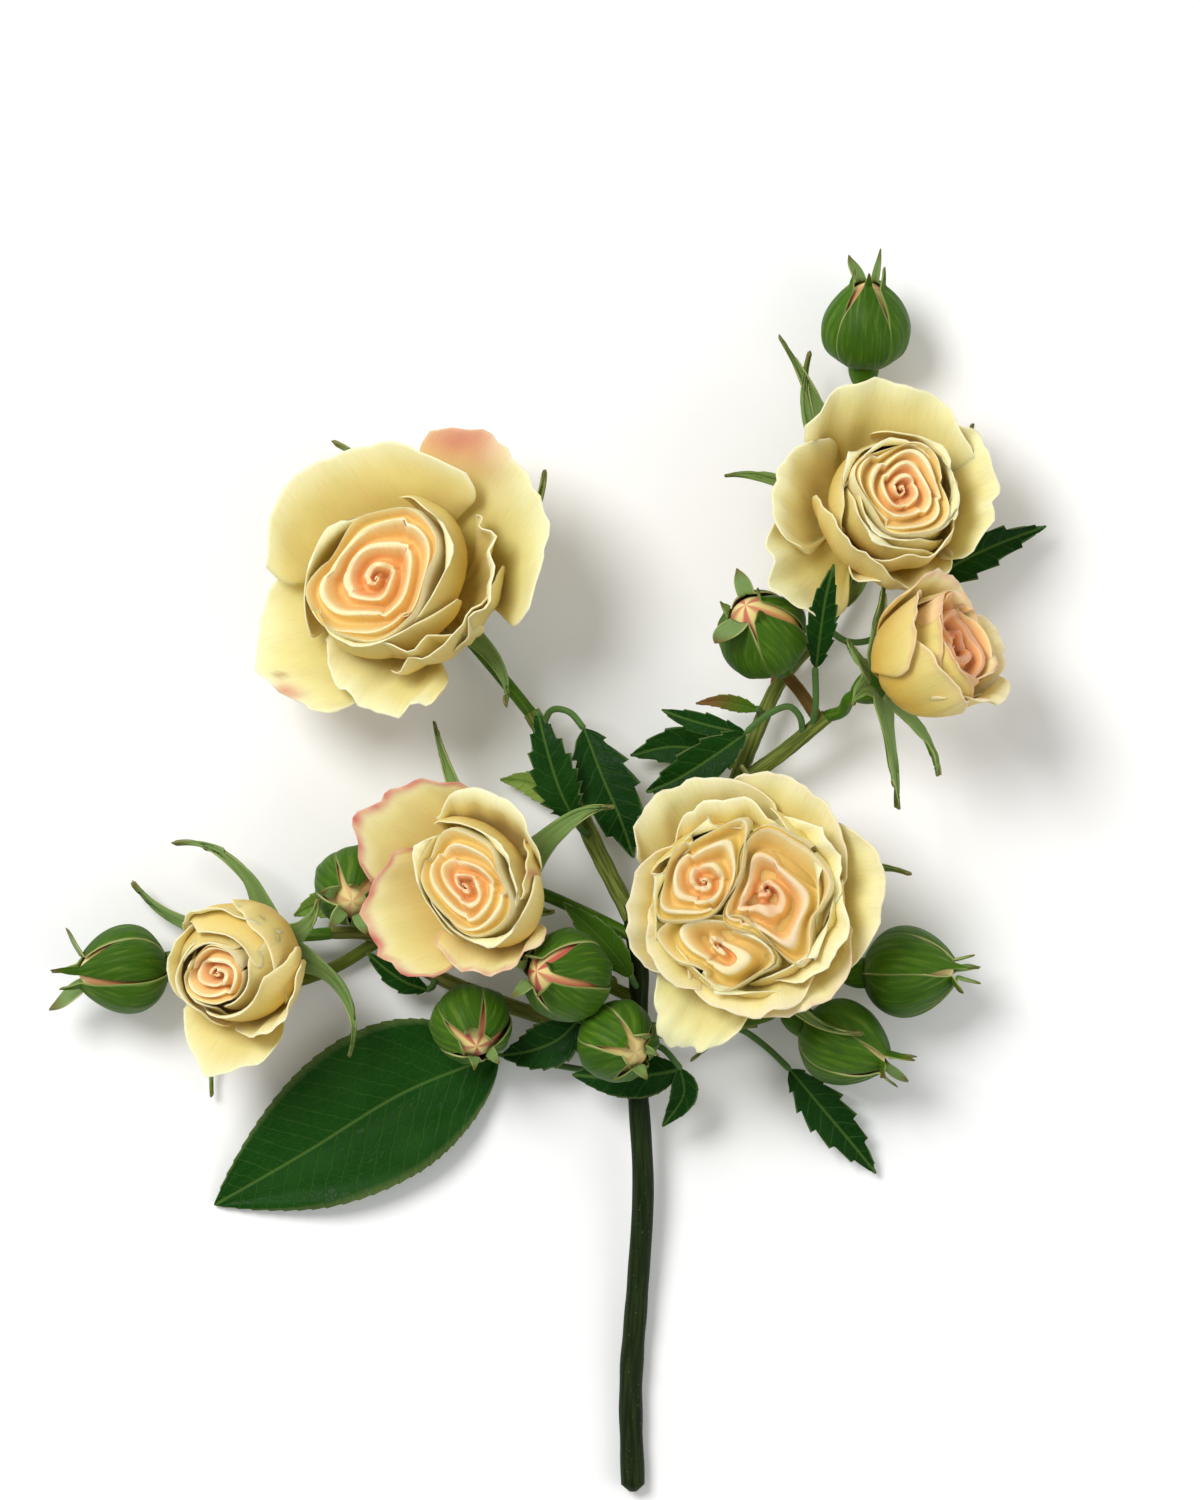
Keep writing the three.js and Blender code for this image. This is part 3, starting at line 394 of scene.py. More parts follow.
def petal_sheet(
    tissue,
    to_plan,
    side,
    azimuth,
    width,
    outline=fan_outline,
    cup=0.9,
    yaw=7,
    shoulder=0.3,
    corner=2.5,
    drift=0,
    roll=0.0,
    ruffle=0.0,
    point=(0.0, 0.0),
    tuck=0.0,
    warmth=0.2,
    blush=0.0,
    spots=(),
    keel=0.0,
    pleats=0.0,
    seed=1,
    thickness=PETAL_THICKNESS,
    rows=26,
    columns=25,
    squash=None,
):
    """One petal or sepal. side is its side view, and cup is how closely it wraps round the flower's axis.

    shoulder rounds its top corners, and a higher corner keeps that nearer to its edges. yaw tucks one edge
    under its neighbour, drift curls its tip sideways, roll turns its edges back, and tuck winds it inwards.
    point is where across and how far its rim runs out. squash moves the finished petal in the flower's frame.
    """
    s_of, radius_of, height_of, angle_of, length = side
    u, v = petal_lattice(rows, columns)
    where, reach_out = point
    s = v * (1 - shoulder * np.abs(u) ** corner)
    s = s + reach_out * np.exp(-(((u - where) / 0.22) ** 2)) * v**5
    nibbled = 0.035 * waves(4 * u, 0 * v, seed + 5) + 0.018 * waves(11 * u, 0 * v, seed + 6)
    s = s * (1 + ruffle * nibbled)
    radius = np.interp(s, s_of, radius_of)
    height = np.interp(s, s_of, height_of)
    angle = np.interp(s, s_of, angle_of)
    reach = u * (width / 2) * outline(s, width)
    bend = cup * np.cos(angle) / np.maximum(radius, 2 if tuck == 0 else 0.4)
    bend = np.where(np.abs(bend) < 1e-5, 1e-5, bend)
    across = np.sin(reach * bend) / bend
    sag = (1 - np.cos(reach * bend)) / bend
    out = radius - sag * np.cos(angle) + across * math.tan(math.radians(yaw))
    if tuck:
        around = reach * bend
        spiral = radius * (1 + tuck * u * smoothstep(0.0, 0.5, v))
        out, across, sag = spiral * np.cos(around), spiral * np.sin(around), 0 * sag
    if squash is not None:
        out, across, height = squash(out, across, height, azimuth)
    turn = np.radians(azimuth + drift * v**2.6)
    grid = np.stack(
        [
            out * np.cos(turn) - across * np.sin(turn),
            out * np.sin(turn) + across * np.cos(turn),
            height + sag * np.sin(angle),
        ],
        -1,
    )
    lift = petal_lift(u, v, ruffle, pleats, roll, keel, seed)
    grid = grid + lift[..., None] * grid_normals(grid)
    skin = np.stack([reach, s * length, np.full_like(s, seed)], -1)
    # along in tone also sets the painted shade towards the petal's base and the painted highlight at its lip.
    tone = np.stack([v, np.abs(u), np.full_like(s, warmth), 0 * s], -1)
    tissue.sheet(to_plan(grid), thickness, skin, tone, petal_marks(u, v, blush, spots, seed))


def whorl_of_petals(tissue, to_plan, ring, belly=None):
    """One ring of inner petals, each tucked under the next. belly is how far out it may swell."""
    count, radius, height, azimuth, warmth, options = ring
    options = dict(options)
    flare = options.pop("flare", 0.5)
    bulge = options.pop("bulge", 0.12 if belly is None else belly / radius - 1)
    overlap = options.pop("overlap", 1.7)
    uneven = options.pop("uneven", 0.06)
    seed = int(azimuth * 7 + radius * 100)
    dice = np.random.default_rng(seed)
    for i in range(count):
        own = radius * (1 + uneven * dice.uniform(-1, 1))
        tall = height * (1 + 0.5 * uneven * dice.uniform(-1, 1))
        span = 2 * math.pi * own * overlap / count
        petal_sheet(
            tissue,
            to_plan,
            cupped(own, tall, flare * dice.uniform(0.7, 1.3), bulge),
            azimuth + 360 * i / count + dice.uniform(-14, 14),
            span,
            **{
                "outline": even_outline,
                "cup": 1,
                "yaw": 0,
                "tuck": 0.13,
                "shoulder": 0.34,
                "corner": 2.2,
                "ruffle": 0.25,
                "warmth": warmth,
                "seed": seed + i,
                "rows": 20,
                "columns": 23,
                **options,
            },
        )


# How a roll's skin runs from one lip to the next one inside it: (share of the way, share of the depth).
INNER_FACE = [(0.0, 0.0), (0.08, 0.05), (0.18, 0.16), (0.34, 0.36), (0.56, 0.62), (0.8, 0.86), (1.0, 1.0)]
OUTER_FACE = [
    *[(0.12, 0.96), (0.3, 0.78), (0.45, 0.5), (0.52, 0.26), (0.54, 0.1)],
    *[(0.6, 0.0), (0.78, -0.06), (1.0, 0.0)],
]
ROLL_CENTRE = 0.12
ROLL_STEPS = 64  # points in each turn of a roll

# What a roll is where its bloom doesn't say.
ROLL = {
    "petals": 2.6,  # how many lips make a turn
    "wobble": 0.11,  # how uneven they are
    "tuck": 0.16,  # how far each one winds inwards
    "sink": 2.0,  # how far the middle lies below the rim
    "depth": 1.15,  # how deep the folds are
    "opened": 0.4,  # how much of a fold is its inner face
    "warp": 0.5,  # how far the roll is pulled out of round
    "blush": 0,  # how red the lips are
    "outline": None,  # the shape that the outermost lip fills, as a reach at each angle
}


def roll_lip(t, roll, phases):
    """Where a roll's lip is after t turns: its radius, height and angle."""
    a, b, c = phases
    t = np.minimum(t, roll["turns"])
    phi = 2 * math.pi * t + math.radians(roll["azimuth"])
    wound = np.maximum(t - 1, 0) / (roll["turns"] - 1)
    spiral = ROLL_CENTRE + (roll["radius"] - ROLL_CENTRE) * (1 - wound) ** 0.95
    uneven = 0.6 * np.sin(2 * phi + a + 0.9 * t) + 0.4 * np.sin(3 * phi + b - 1.1 * t)
    in_petal = np.mod(t * roll["petals"] + 0.35 * np.sin(c + 2.3 * t), 1)
    tucked = (0.5 - in_petal) * smoothstep(0.6, 1.2, t)
    radius = spiral * (1 + roll["wobble"] * uneven + roll["tuck"] * tucked)
    if roll["outline"] is not None:
        share = np.clip(spiral / roll["radius"], 0, 1)
        radius = radius * (1 + (roll["outline"](phi) / roll["radius"] - 1) * share**1.2)
    ends = 1 - smoothstep(0.0, 0.22, in_petal) + smoothstep(0.78, 1.0, in_petal)
    gap = roll["radius"] / roll["turns"]
    height = roll["height"] - roll["sink"] * (t / roll["turns"]) ** 1.4
    height = height - 0.5 * gap * ends + 0.3 * gap * np.sin(3 * phi + c + 2 * t)
    return radius, height, phi


def roll_turns(roll):
    return np.linspace(0, roll["turns"], int(roll["turns"] * ROLL_STEPS) + 1)


def roll_folds(roll, phases):
    """The skin from each lip down and up to the next one inside it, how near its lip it is (which paints
    shade deep in each fold), and its angle.
    """
    t = roll_turns(roll)
    outer, outer_height, phi = roll_lip(t, roll, phases)
    inner, inner_height, _ = roll_lip(t + 1, roll, phases)
    deep = roll["depth"] * np.maximum(np.abs(outer - inner), 0.15) ** 0.8
    opened = np.clip(roll["opened"] + 0.2 * np.sin(phi + phases[2]), 0.15, 0.8)
    across = [(opened * share, fall) for share, fall in INNER_FACE]
    across += [(opened + (1 - opened) * share, fall) for share, fall in OUTER_FACE]
    rows = []
    for share, fall in across:
        height = outer_height + (inner_height - outer_height) * share - deep * fall
        rows.append(polar(outer + (inner - outer) * share, phi, height))
    # near drops deep in each fold, where the petal material paints shade.
    near = np.array([1 - 0.75 * fall for _, fall in across])
    return np.stack(rows), near[:, None] * np.ones(len(t)), phi


def roll_skirt(roll, phases):
    """The outside of the outermost petal, from its lip down to its claw, as roll_folds gives it."""
    t = roll_turns(roll)
    lip, lip_height, phi = roll_lip(t[t <= 1.0], roll, phases)
    shares = np.linspace(0, 1, 9)
    rows = []
    for share in shares:
        radius = lip * (1 + 0.1 * math.sin(math.pi * share)) * (1 - share**3) + 1.2 * share**3
        rows.append(polar(radius, phi, lip_height * (1 - share) + 3.0 * share))
    # near drops towards the claw, where the petal material paints shade.
    return np.stack(rows), (1 - 0.8 * shares)[:, None] * np.ones(len(phi)), phi


def rolled_heart(tissue, to_plan, roll, warmth, place):
    """The rolled middle of a bloom: petals wound into one another, lip inside lip, as one folded skin.

    warmth is given at its outside and its middle, and place moves it in the flower's frame.
    """
    roll = {**ROLL, **roll}
    seed = int(roll["azimuth"]) + int(roll["radius"] * 10)
    phases = np.random.default_rng(seed).uniform(0, 6.3, 3)
    for shape, inwards in ((roll_folds, True), (roll_skirt, False)):
        points, near, phi = shape(roll, phases)
        x, y, z = place(points[..., 0], points[..., 1], points[..., 2], 0)
        x, y = x + roll["warp"] * np.sin(0.5 * y + phases[0]), y + roll["warp"] * np.sin(0.5 * x + phases[1])
        points = np.stack([x, y, z], -1)
        wound = (np.linspace(0, 1, len(phi)) if inwards else 0) + 0 * near
        warm = warmth[0] + (warmth[1] - warmth[0]) * wound**1.3
        distance = np.linalg.norm(points[..., :2], axis=-1)
        skin = np.stack([5 * np.cos(phi) + 0 * near, distance, seed + 0 * near], -1)
        # near as the tone's along paints shade deep in the folds and a highlight at the lips.
        tone = np.stack([near, 0 * near, warm, 0 * near], -1)
        mark = np.zeros(points.shape)
        # A faint pale lip: partly the petal's own margin, partly a painted highlight.
        mark[..., PALE] = 0.12 * smoothstep(0.97, 1, near)
        mark[..., RED] = roll["blush"] * smoothstep(0.97, 1, near)
        faces = grid_faces(*near.shape)
        tissue.patch(to_plan(points), skin, tone, mark, faces if inwards else faces[:, ::-1])


CORNERS = 4.5  # how sharp the corners of a packed roll are
ROLL_OVERLAP = 0.5  # how far packed rolls run into one another


def packed_outline(centres, k, edge):
    """The outline of the k-th roll where several fill one cup: up to its neighbours and the cup's edge."""
    own = np.array(centres[k])

    def reach(phi):
        x, y = np.cos(phi), np.sin(phi)
        dot = own[0] * x + own[1] * y
        limits = [-dot + np.sqrt(np.maximum(dot**2 - own @ own + edge**2, 0.1))]
        for other in centres:
            apart = np.array(other) - own
            distance = np.linalg.norm(apart)
            if distance > 0:
                towards = (apart[0] * x + apart[1] * y) / distance
                limits.append((distance / 2 + ROLL_OVERLAP) / np.maximum(towards, 0.05))
        return np.sum([limit**-CORNERS for limit in limits], axis=0) ** (-1 / CORNERS)

    return reach


def stretched(dx=0.0, dy=0.0, along=0.0, by=1.0):
    """Moves a heart sideways and stretches it along a direction, in its flower's frame."""

    def squash(out, across, height, azimuth):
        a = math.radians(azimuth)
        x = out * math.cos(a) - across * math.sin(a)
        y = out * math.sin(a) + across * math.cos(a)
        c, s = math.cos(math.radians(along)), math.sin(math.radians(along))
        p, q = (x * c + y * s) * by, (-x * s + y * c) / math.sqrt(by)
        share = smoothstep(0, 12, height)
        x, y = p * c - q * s + dx * share, p * s + q * c + dy * share
        return x * math.cos(a) + y * math.sin(a), -x * math.sin(a) + y * math.cos(a), height

    return squash


# ---- Materials ----


def colour(red, green, blue):
    """A colour given as it looks on a screen, in the linear values that shaders take."""
    values = []
    for value in (red, green, blue):
        share = value / 255
        values.append(share / 12.92 if share <= 0.04045 else ((share + 0.055) / 1.055) ** 2.4)
    return (*values, 1)


class Shader:
    """A few short ways to add and join shader nodes."""

    def __init__(self, name):
        self.material = bpy.data.materials.new(name)
        self.material.use_nodes = True
        self.tree = self.material.node_tree
        self.surface = self.tree.nodes["Principled BSDF"]

    def node(self, kind, **settings):
        made = self.tree.nodes.new(kind)
        for key, value in settings.items():
            setattr(made, key, value)
        return made

    def feed(self, socket, value):
        if isinstance(value, bpy.types.NodeSocket):
            self.tree.links.new(value, socket)
        else:
            socket.default_value = value

    def attribute(self, name):
        return self.node("ShaderNodeAttribute", attribute_name=name)

    def parts(self, name):
        split = self.node("ShaderNodeSeparateColor")
        self.feed(split.inputs[0], self.attribute(name).outputs["Color"])
        return split.outputs

    def maths(self, operation, a, b=0.0, c=0.0, clamp=False):
        made = self.node("ShaderNodeMath", operation=operation, use_clamp=clamp)
        for socket, value in zip(made.inputs, (a, b, c)):
            self.feed(socket, value)
        return made.outputs[0]

    def between(self, value, low, high, first=0.0, last=1.0):
        made = self.node("ShaderNodeMapRange", interpolation_type="SMOOTHSTEP")
        for socket, given in zip(made.inputs, (value, low, high, first, last)):
            self.feed(socket, given)
        return made.outputs[0]

    def mix(self, share, a, b, blend="MIX"):
        made = self.node("ShaderNodeMix", data_type="RGBA", blend_type=blend)
        self.feed(made.inputs[0], share)
        self.feed(made.inputs[6], a)
        self.feed(made.inputs[7], b)
        return made.outputs[2]

    def stain(self, base, amount, strength, *shade):
        """Lays a colour over the base where a mark says so."""
        share = self.maths("MULTIPLY", amount, strength, clamp=True)
        return self.mix(share, base, colour(*shade))

    def veil(self, base, value, low, high, strength, *shade):
        """Lays a thin colour over the base where a value lies beyond low, in full from high on."""
        return self.mix(self.between(value, low, high, 0.0, strength), base, colour(*shade))

    def ramp(self, value, stops):
        made = self.node("ShaderNodeValToRGB")
        elements = made.color_ramp.elements
        while len(elements) < len(stops):
            elements.new(0.5)
        for element, (place, shade) in zip(elements, stops.items()):
            element.position = place
            element.color = colour(*shade)
        self.feed(made.inputs[0], value)
        return made.outputs[0]

    def scaled_skin(self, across, along):
        """The patch's own coordinates, stretched for noise that runs along it."""
        split = self.node("ShaderNodeSeparateXYZ")
        self.feed(split.inputs[0], self.attribute("skin").outputs["Vector"])
        joined = self.node("ShaderNodeCombineXYZ")
        self.feed(joined.inputs[0], self.maths("MULTIPLY", split.outputs[0], across))
        self.feed(joined.inputs[1], self.maths("MULTIPLY", split.outputs[1], along))
        self.feed(joined.inputs[2], self.maths("MULTIPLY", split.outputs[2], 3.7))
        return joined.outputs[0]

    def noise(self, coordinates, scale=1.0, detail=3.0, roughness=0.55):
        made = self.node("ShaderNodeTexNoise")
        self.feed(made.inputs["Vector"], coordinates)
        made.inputs["Scale"].default_value = scale
        made.inputs["Detail"].default_value = detail
        made.inputs["Roughness"].default_value = roughness
        return made.outputs[0]

    def bump(self, height, strength, distance):
        made = self.node("ShaderNodeBump")
        made.inputs["Strength"].default_value = strength
        made.inputs["Distance"].default_value = distance * MM
        self.feed(made.inputs["Height"], height)
        self.feed(self.surface.inputs["Normal"], made.outputs[0])

    def finish(self, base, roughness, **constants):
        self.feed(self.surface.inputs["Base Color"], base)
        self.feed(self.surface.inputs["Roughness"], roughness)
        for name, value in constants.items():
            self.surface.inputs[name.replace("_", " ")].default_value = value
        return self.material


def petal_material():
    """Cream petals: orange deep in the heart and darker towards each petal's base and deep in its folds,
    partly their own colour and partly painted shade; pale at the lips, partly their own paler margin and
    partly a painted highlight; golden outer faces as painted shade; with fine veins along them.
    """
    m = Shader("petal")
    along, _, warmth = m.parts("tone")[:3]
    back = m.attribute("tone").outputs["Alpha"]
    red, brown, pale = m.parts("mark")[:3]
    body = m.ramp(
        warmth,
        {
            0.0: (230, 224, 164),
            0.25: (240, 225, 158),
            0.5: (247, 222, 154),
            0.75: (248, 208, 150),
            1.0: (242, 144, 76),
        },
    )
    # deep is the colour low on a petal and deep in a heart's folds: partly the petal's own warmer base,
    # partly painted shade in the creases, darkest in the heart's middle.
    deep = m.ramp(
        warmth,
        {
            0.0: (200, 192, 104),
            0.25: (226, 202, 116),
            0.5: (238, 202, 128),
            0.75: (240, 178, 114),
            1.0: (150, 46, 12),
        },
    )
    # lip is the colour at the rims: partly the petal's own paler margin, partly a painted highlight where the
    # rim catches the light.
    lip = m.ramp(
        warmth,
        {
            0.0: (240, 236, 186),
            0.35: (248, 238, 192),
            0.7: (251, 228, 180),
            1.0: (247, 188, 128),
        },
    )
    streaks = m.noise(m.scaled_skin(2.6, 0.22), 1.0, 3)
    patches = m.noise(m.scaled_skin(0.16, 0.12), 1.0, 2)
    # Painted shade, partly the petal's own warmer base: the deep colour towards a petal's base and deep in
    # each fold.
    base = m.mix(m.between(along, 0.35, 0.86), deep, body)
    # Pale lips: partly the petal's own paler margin, partly a painted highlight.
    base = m.mix(m.between(along, 0.8, 1.0), base, lip)
    # Painted shade: a petal's outer face is golden and darker towards its base, standing in for the shade it
    # lies in.
    outer_face_shade = m.mix(m.between(along, 0.45, 1.0), colour(208, 160, 42), colour(234, 208, 126))
    base = m.mix(m.maths("MULTIPLY", back, 0.7), base, outer_face_shade)
    base = m.veil(base, patches, 0.42, 0.72, 0.22, 220, 216, 124)
    base = m.veil(base, streaks, 0.45, 0.8, 0.16, 200, 176, 96)
    base = m.stain(base, pale, 0.85, 250, 246, 226)
    base = m.stain(base, red, 0.9, 196, 72, 78)
    base = m.stain(base, brown, 0.85, 142, 96, 44)
    m.bump(m.maths("ADD", streaks, m.maths("MULTIPLY", patches, 0.8)), 0.35, 0.18)
    return m.finish(
        base,
        m.between(streaks, 0.3, 0.7, 0.46, 0.6),
        Subsurface_Weight=0.35,
        Subsurface_Radius=(1.0, 0.62, 0.28),
        Subsurface_Scale=0.0012,
        Specular_IOR_Level=0.12,
        Sheen_Weight=0.03,
        Sheen_Roughness=0.5,
    )


def green_material():
    """Sepals, hips and pedicels: matt green, pale at the margins, brown or red where marked."""
    m = Shader("calyx")
    _, across, warmth = m.parts("tone")[:3]
    back = m.attribute("tone").outputs["Alpha"]
    red, brown, pale = m.parts("mark")[:3]
    body = m.ramp(
        warmth,
        {
            0.0: (26, 62, 4),
            0.5: (66, 106, 12),
            1.0: (132, 154, 42),
        },
    )
    ribs = m.noise(m.scaled_skin(1.6, 0.18), 1.0, 3)
    spread = m.noise(m.scaled_skin(0.35, 0.3), 1.0, 2)
    base = m.veil(body, spread, 0.4, 0.7, 0.6, 58, 92, 24)
    base = m.veil(base, ribs, 0.48, 0.75, 0.24, 146, 166, 70)
    base = m.veil(base, ribs, 0.5, 0.28, 0.3, 22, 52, 6)
    inside = m.maths("SUBTRACT", 1.0, back)
    base = m.mix(m.maths("MULTIPLY", inside, 0.5), base, colour(150, 176, 110))
    base = m.veil(base, across, 0.92, 1.0, 0.35, 170, 180, 96)
    base = m.stain(base, pale, 0.9, 222, 216, 150)
    base = m.stain(base, red, 0.9, 136, 58, 44)
    base = m.stain(base, brown, 0.9, 104, 74, 34)
    grain = m.noise(m.scaled_skin(5, 3), 1.0, 3)
    m.bump(m.maths("ADD", ribs, m.maths("MULTIPLY", grain, 0.4)), 0.5, 0.22)
    return m.finish(
        base,
        m.between(grain, 0.3, 0.7, 0.42, 0.58),
        Subsurface_Weight=0.12,
        Subsurface_Radius=(0.5, 0.9, 0.25),
        Subsurface_Scale=0.0008,
        Specular_IOR_Level=0.12,
        Sheen_Weight=0.02,
        Sheen_Roughness=0.4,
    )


def leaf_material():
    """Leaves: dark green and slightly glossy above, with a pale midrib, side veins and a duller underside."""
    m = Shader("leaf")
    warmth = m.parts("tone")[2]
    back = m.attribute("tone").outputs["Alpha"]
    red, brown, pale = m.parts("mark")[:3]
    split = m.node("ShaderNodeSeparateXYZ")
    m.feed(split.inputs[0], m.attribute("skin").outputs["Vector"])
    aside = m.maths("ABSOLUTE", split.outputs[0])
    slanted = m.maths("SUBTRACT", split.outputs[1], m.maths("MULTIPLY", aside, 0.9))
    wander = m.noise(m.scaled_skin(0.3, 0.3), 1.0, 2)
    place = m.maths("ADD", m.maths("MULTIPLY", slanted, 0.3), m.maths("MULTIPLY", wander, 0.5))
    distance = m.maths("PINGPONG", place, 0.5)
    side_vein = m.between(distance, 0.0, 0.09, 1.0, 0.0)
    midrib = m.between(aside, 0.12, 0.42, 1.0, 0.0)
    net = m.node("ShaderNodeTexVoronoi", feature="DISTANCE_TO_EDGE")
    m.feed(net.inputs["Vector"], m.scaled_skin(1.0, 1.0))
    net.inputs["Scale"].default_value = 0.9
    fine = m.between(net.outputs["Distance"], 0.0, 0.08, 1.0, 0.0)
    body = m.ramp(
        warmth,
        {
            0.0: (8, 44, 4),
            0.35: (18, 62, 8),
            0.7: (78, 112, 24),
            1.0: (132, 158, 70),
        },
    )
    cloudy = m.noise(m.scaled_skin(0.14, 0.1), 1.0, 3)
    base = m.mix(m.between(cloudy, 0.35, 0.7, 0.0, 0.55), body, m.mix(0.5, body, colour(36, 84, 24)))
    base = m.mix(m.maths("MULTIPLY", fine, 0.08), base, colour(70, 108, 40))
    base = m.mix(m.maths("MULTIPLY", side_vein, 0.16), base, colour(84, 120, 50))
    base = m.mix(m.maths("MULTIPLY", midrib, 0.45), base, colour(92, 124, 54))
    base = m.mix(m.maths("MULTIPLY", back, 0.6), base, colour(86, 118, 70))
    base = m.stain(base, pale, 0.9, 176, 188, 118)
    base = m.stain(base, red, 0.9, 140, 70, 52)
    base = m.stain(base, brown, 0.9, 92, 70, 36)
    sunk = m.maths("ADD", m.maths("MULTIPLY", side_vein, 0.7), m.maths("MULTIPLY", fine, 0.25))
    height = m.maths("SUBTRACT", m.maths("MULTIPLY", cloudy, 0.6), m.maths("ADD", sunk, midrib))
    m.bump(height, 0.5, 0.3)
    return m.finish(
        base,
        m.between(cloudy, 0.3, 0.7, 0.34, 0.5),
        Subsurface_Weight=0.06,
        Subsurface_Radius=(0.3, 0.8, 0.2),
        Subsurface_Scale=0.0006,
        Specular_IOR_Level=0.07,
    )


def stem_material(name, dark, light):
    """A stem: fine fibres along it, darker patches and small pale specks."""
    m = Shader(name)
    red = m.parts("mark")[RED]
    fibres = m.noise(m.scaled_skin(2.2, 0.12), 1.0, 4)
    patches = m.noise(m.scaled_skin(0.25, 0.08), 1.0, 2)
    base = m.mix(m.between(fibres, 0.35, 0.65), dark, light)
    base = m.mix(m.between(patches, 0.45, 0.7, 0.0, 0.4), base, dark)
    specks = m.noise(m.scaled_skin(2.8, 1.6), 1.0, 2)
    base = m.veil(base, specks, 0.68, 0.76, 0.35, 150, 160, 96)
    base = m.stain(base, red, 0.9, 112, 52, 40)
    m.bump(m.maths("ADD", fibres, specks), 0.5, 0.15)
    return m.finish(
        base,
        m.between(fibres, 0.3, 0.7, 0.4, 0.55),
        Subsurface_Weight=0.05,
        Subsurface_Radius=(0.5, 0.8, 0.3),
        Subsurface_Scale=0.0008,
        Specular_IOR_Level=0.08,
    )


def floor_material():
    """A plain pale surface with a very faint mottle."""
    m = Shader("floor")
    place = m.node("ShaderNodeNewGeometry").outputs["Position"]
    mottle = m.noise(place, 60.0, 4)
    base = m.mix(mottle, colour(250, 250, 249), colour(255, 255, 254))
    return m.finish(base, 0.85, Specular_IOR_Level=0.1)


PETAL = petal_material()
GREEN = green_material()
LEAF = leaf_material()
STEM = stem_material("stem", colour(20, 32, 10), colour(38, 52, 20))
SHOOT = stem_material("shoot", colour(78, 92, 34), colour(128, 138, 64))


# ---- The plant's layout, as in the CAD part ----

# The main stem rises from its cut end to the crown and on to its top.
STEM_POINTS = [
    (-0.5, -STEM_LENGTH, STEM_RADIUS),
    (-0.9, -0.76 * STEM_LENGTH, STEM_RADIUS + 0.5),
    (0.3, -0.54 * STEM_LENGTH, STEM_RADIUS + 1.8),
    (1.3, -0.31 * STEM_LENGTH, STEM_RADIUS + 3.8),
    (0, 0, 9),
    (0.5, 14, 11),
    (-1, 27, 11.5),
]

# Each limb's points, its first and last radius, and how red it is.
LIMBS = {
    "main_stem": (STEM_POINTS, STEM_RADIUS, SHOOT_RADIUS + 0.1, 0.0),
    "shoot_left": (
        [(0.3, 2, 9), (-10, 4, 6), (-24, 8, 3.6), (-37, 13.5, 3.2), (-47, 20.3, 4.5), (-56, 21, 6.5)],
        SHOOT_RADIUS,
        PEDICEL_RADIUS,
        0.15,
    ),
    "shoot_upper_left": (
        [(-0.4, 23, 11.4), (-8, 38, 9.5), (-15, 54, 8), (-19, 61, 7.5)],
        SHOOT_RADIUS,
        SHOOT_RADIUS,
        0.0,
    ),
    "shoot_right": (
        [(-0.2, 21, 11.3), (6, 33, 8.5), (17.8, 46.8, 9), (27, 54, 12), (34.6, 60.3, 15)],
        SHOOT_RADIUS,
        PEDICEL_RADIUS + 0.2,
        0.0,
    ),
    "shoot_top": (
        [(17.2, 46.2, 9), (21.5, 56.5, 6.6), (26.5, 67, 4.6), (35.5, 77, 4.2)],
        SHOOT_RADIUS - 0.1,
        PEDICEL_RADIUS + 0.1,
        0.0,
    ),
    "shoot_lower_right": (
        [(0.1, 4, 9.4), (8, 3, 7.5), (17, 4.5, 6.5), (22, 5, 6.2)],
        SHOOT_RADIUS - 0.2,
        PEDICEL_RADIUS + 0.1,
        0.0,
    ),
}


def petal(azimuth, length, width, lean, warmth, ruffle, **options):
    """A guard petal. lean is its angles from the flower's axis, from claw to lip."""
    return azimuth, length, width, lean, {"warmth": warmth, "ruffle": ruffle, **options}


def ring(count, radius, height, azimuth, warmth, **options):
    """A ring of inner petals."""
    return count, radius, height, azimuth, warmth, options


def roll(radius, height, turns, azimuth, warmth, place, **options):
    """A rolled heart. warmth is outside and in the middle, and place says how stretched() moves it."""
    shape = {"radius": radius, "height": height, "turns": turns, "azimuth": azimuth, **options}
    return shape, warmth, place


def sepal(azimuth, length, middle, tip, **options):
    """A bloom's sepal, from its lean in the middle and at the tip."""
    return azimuth, length, middle, tip, options


def blade(spine, width, **options):
    """A leaflet, from the points of its midrib."""
    return spine, width, options


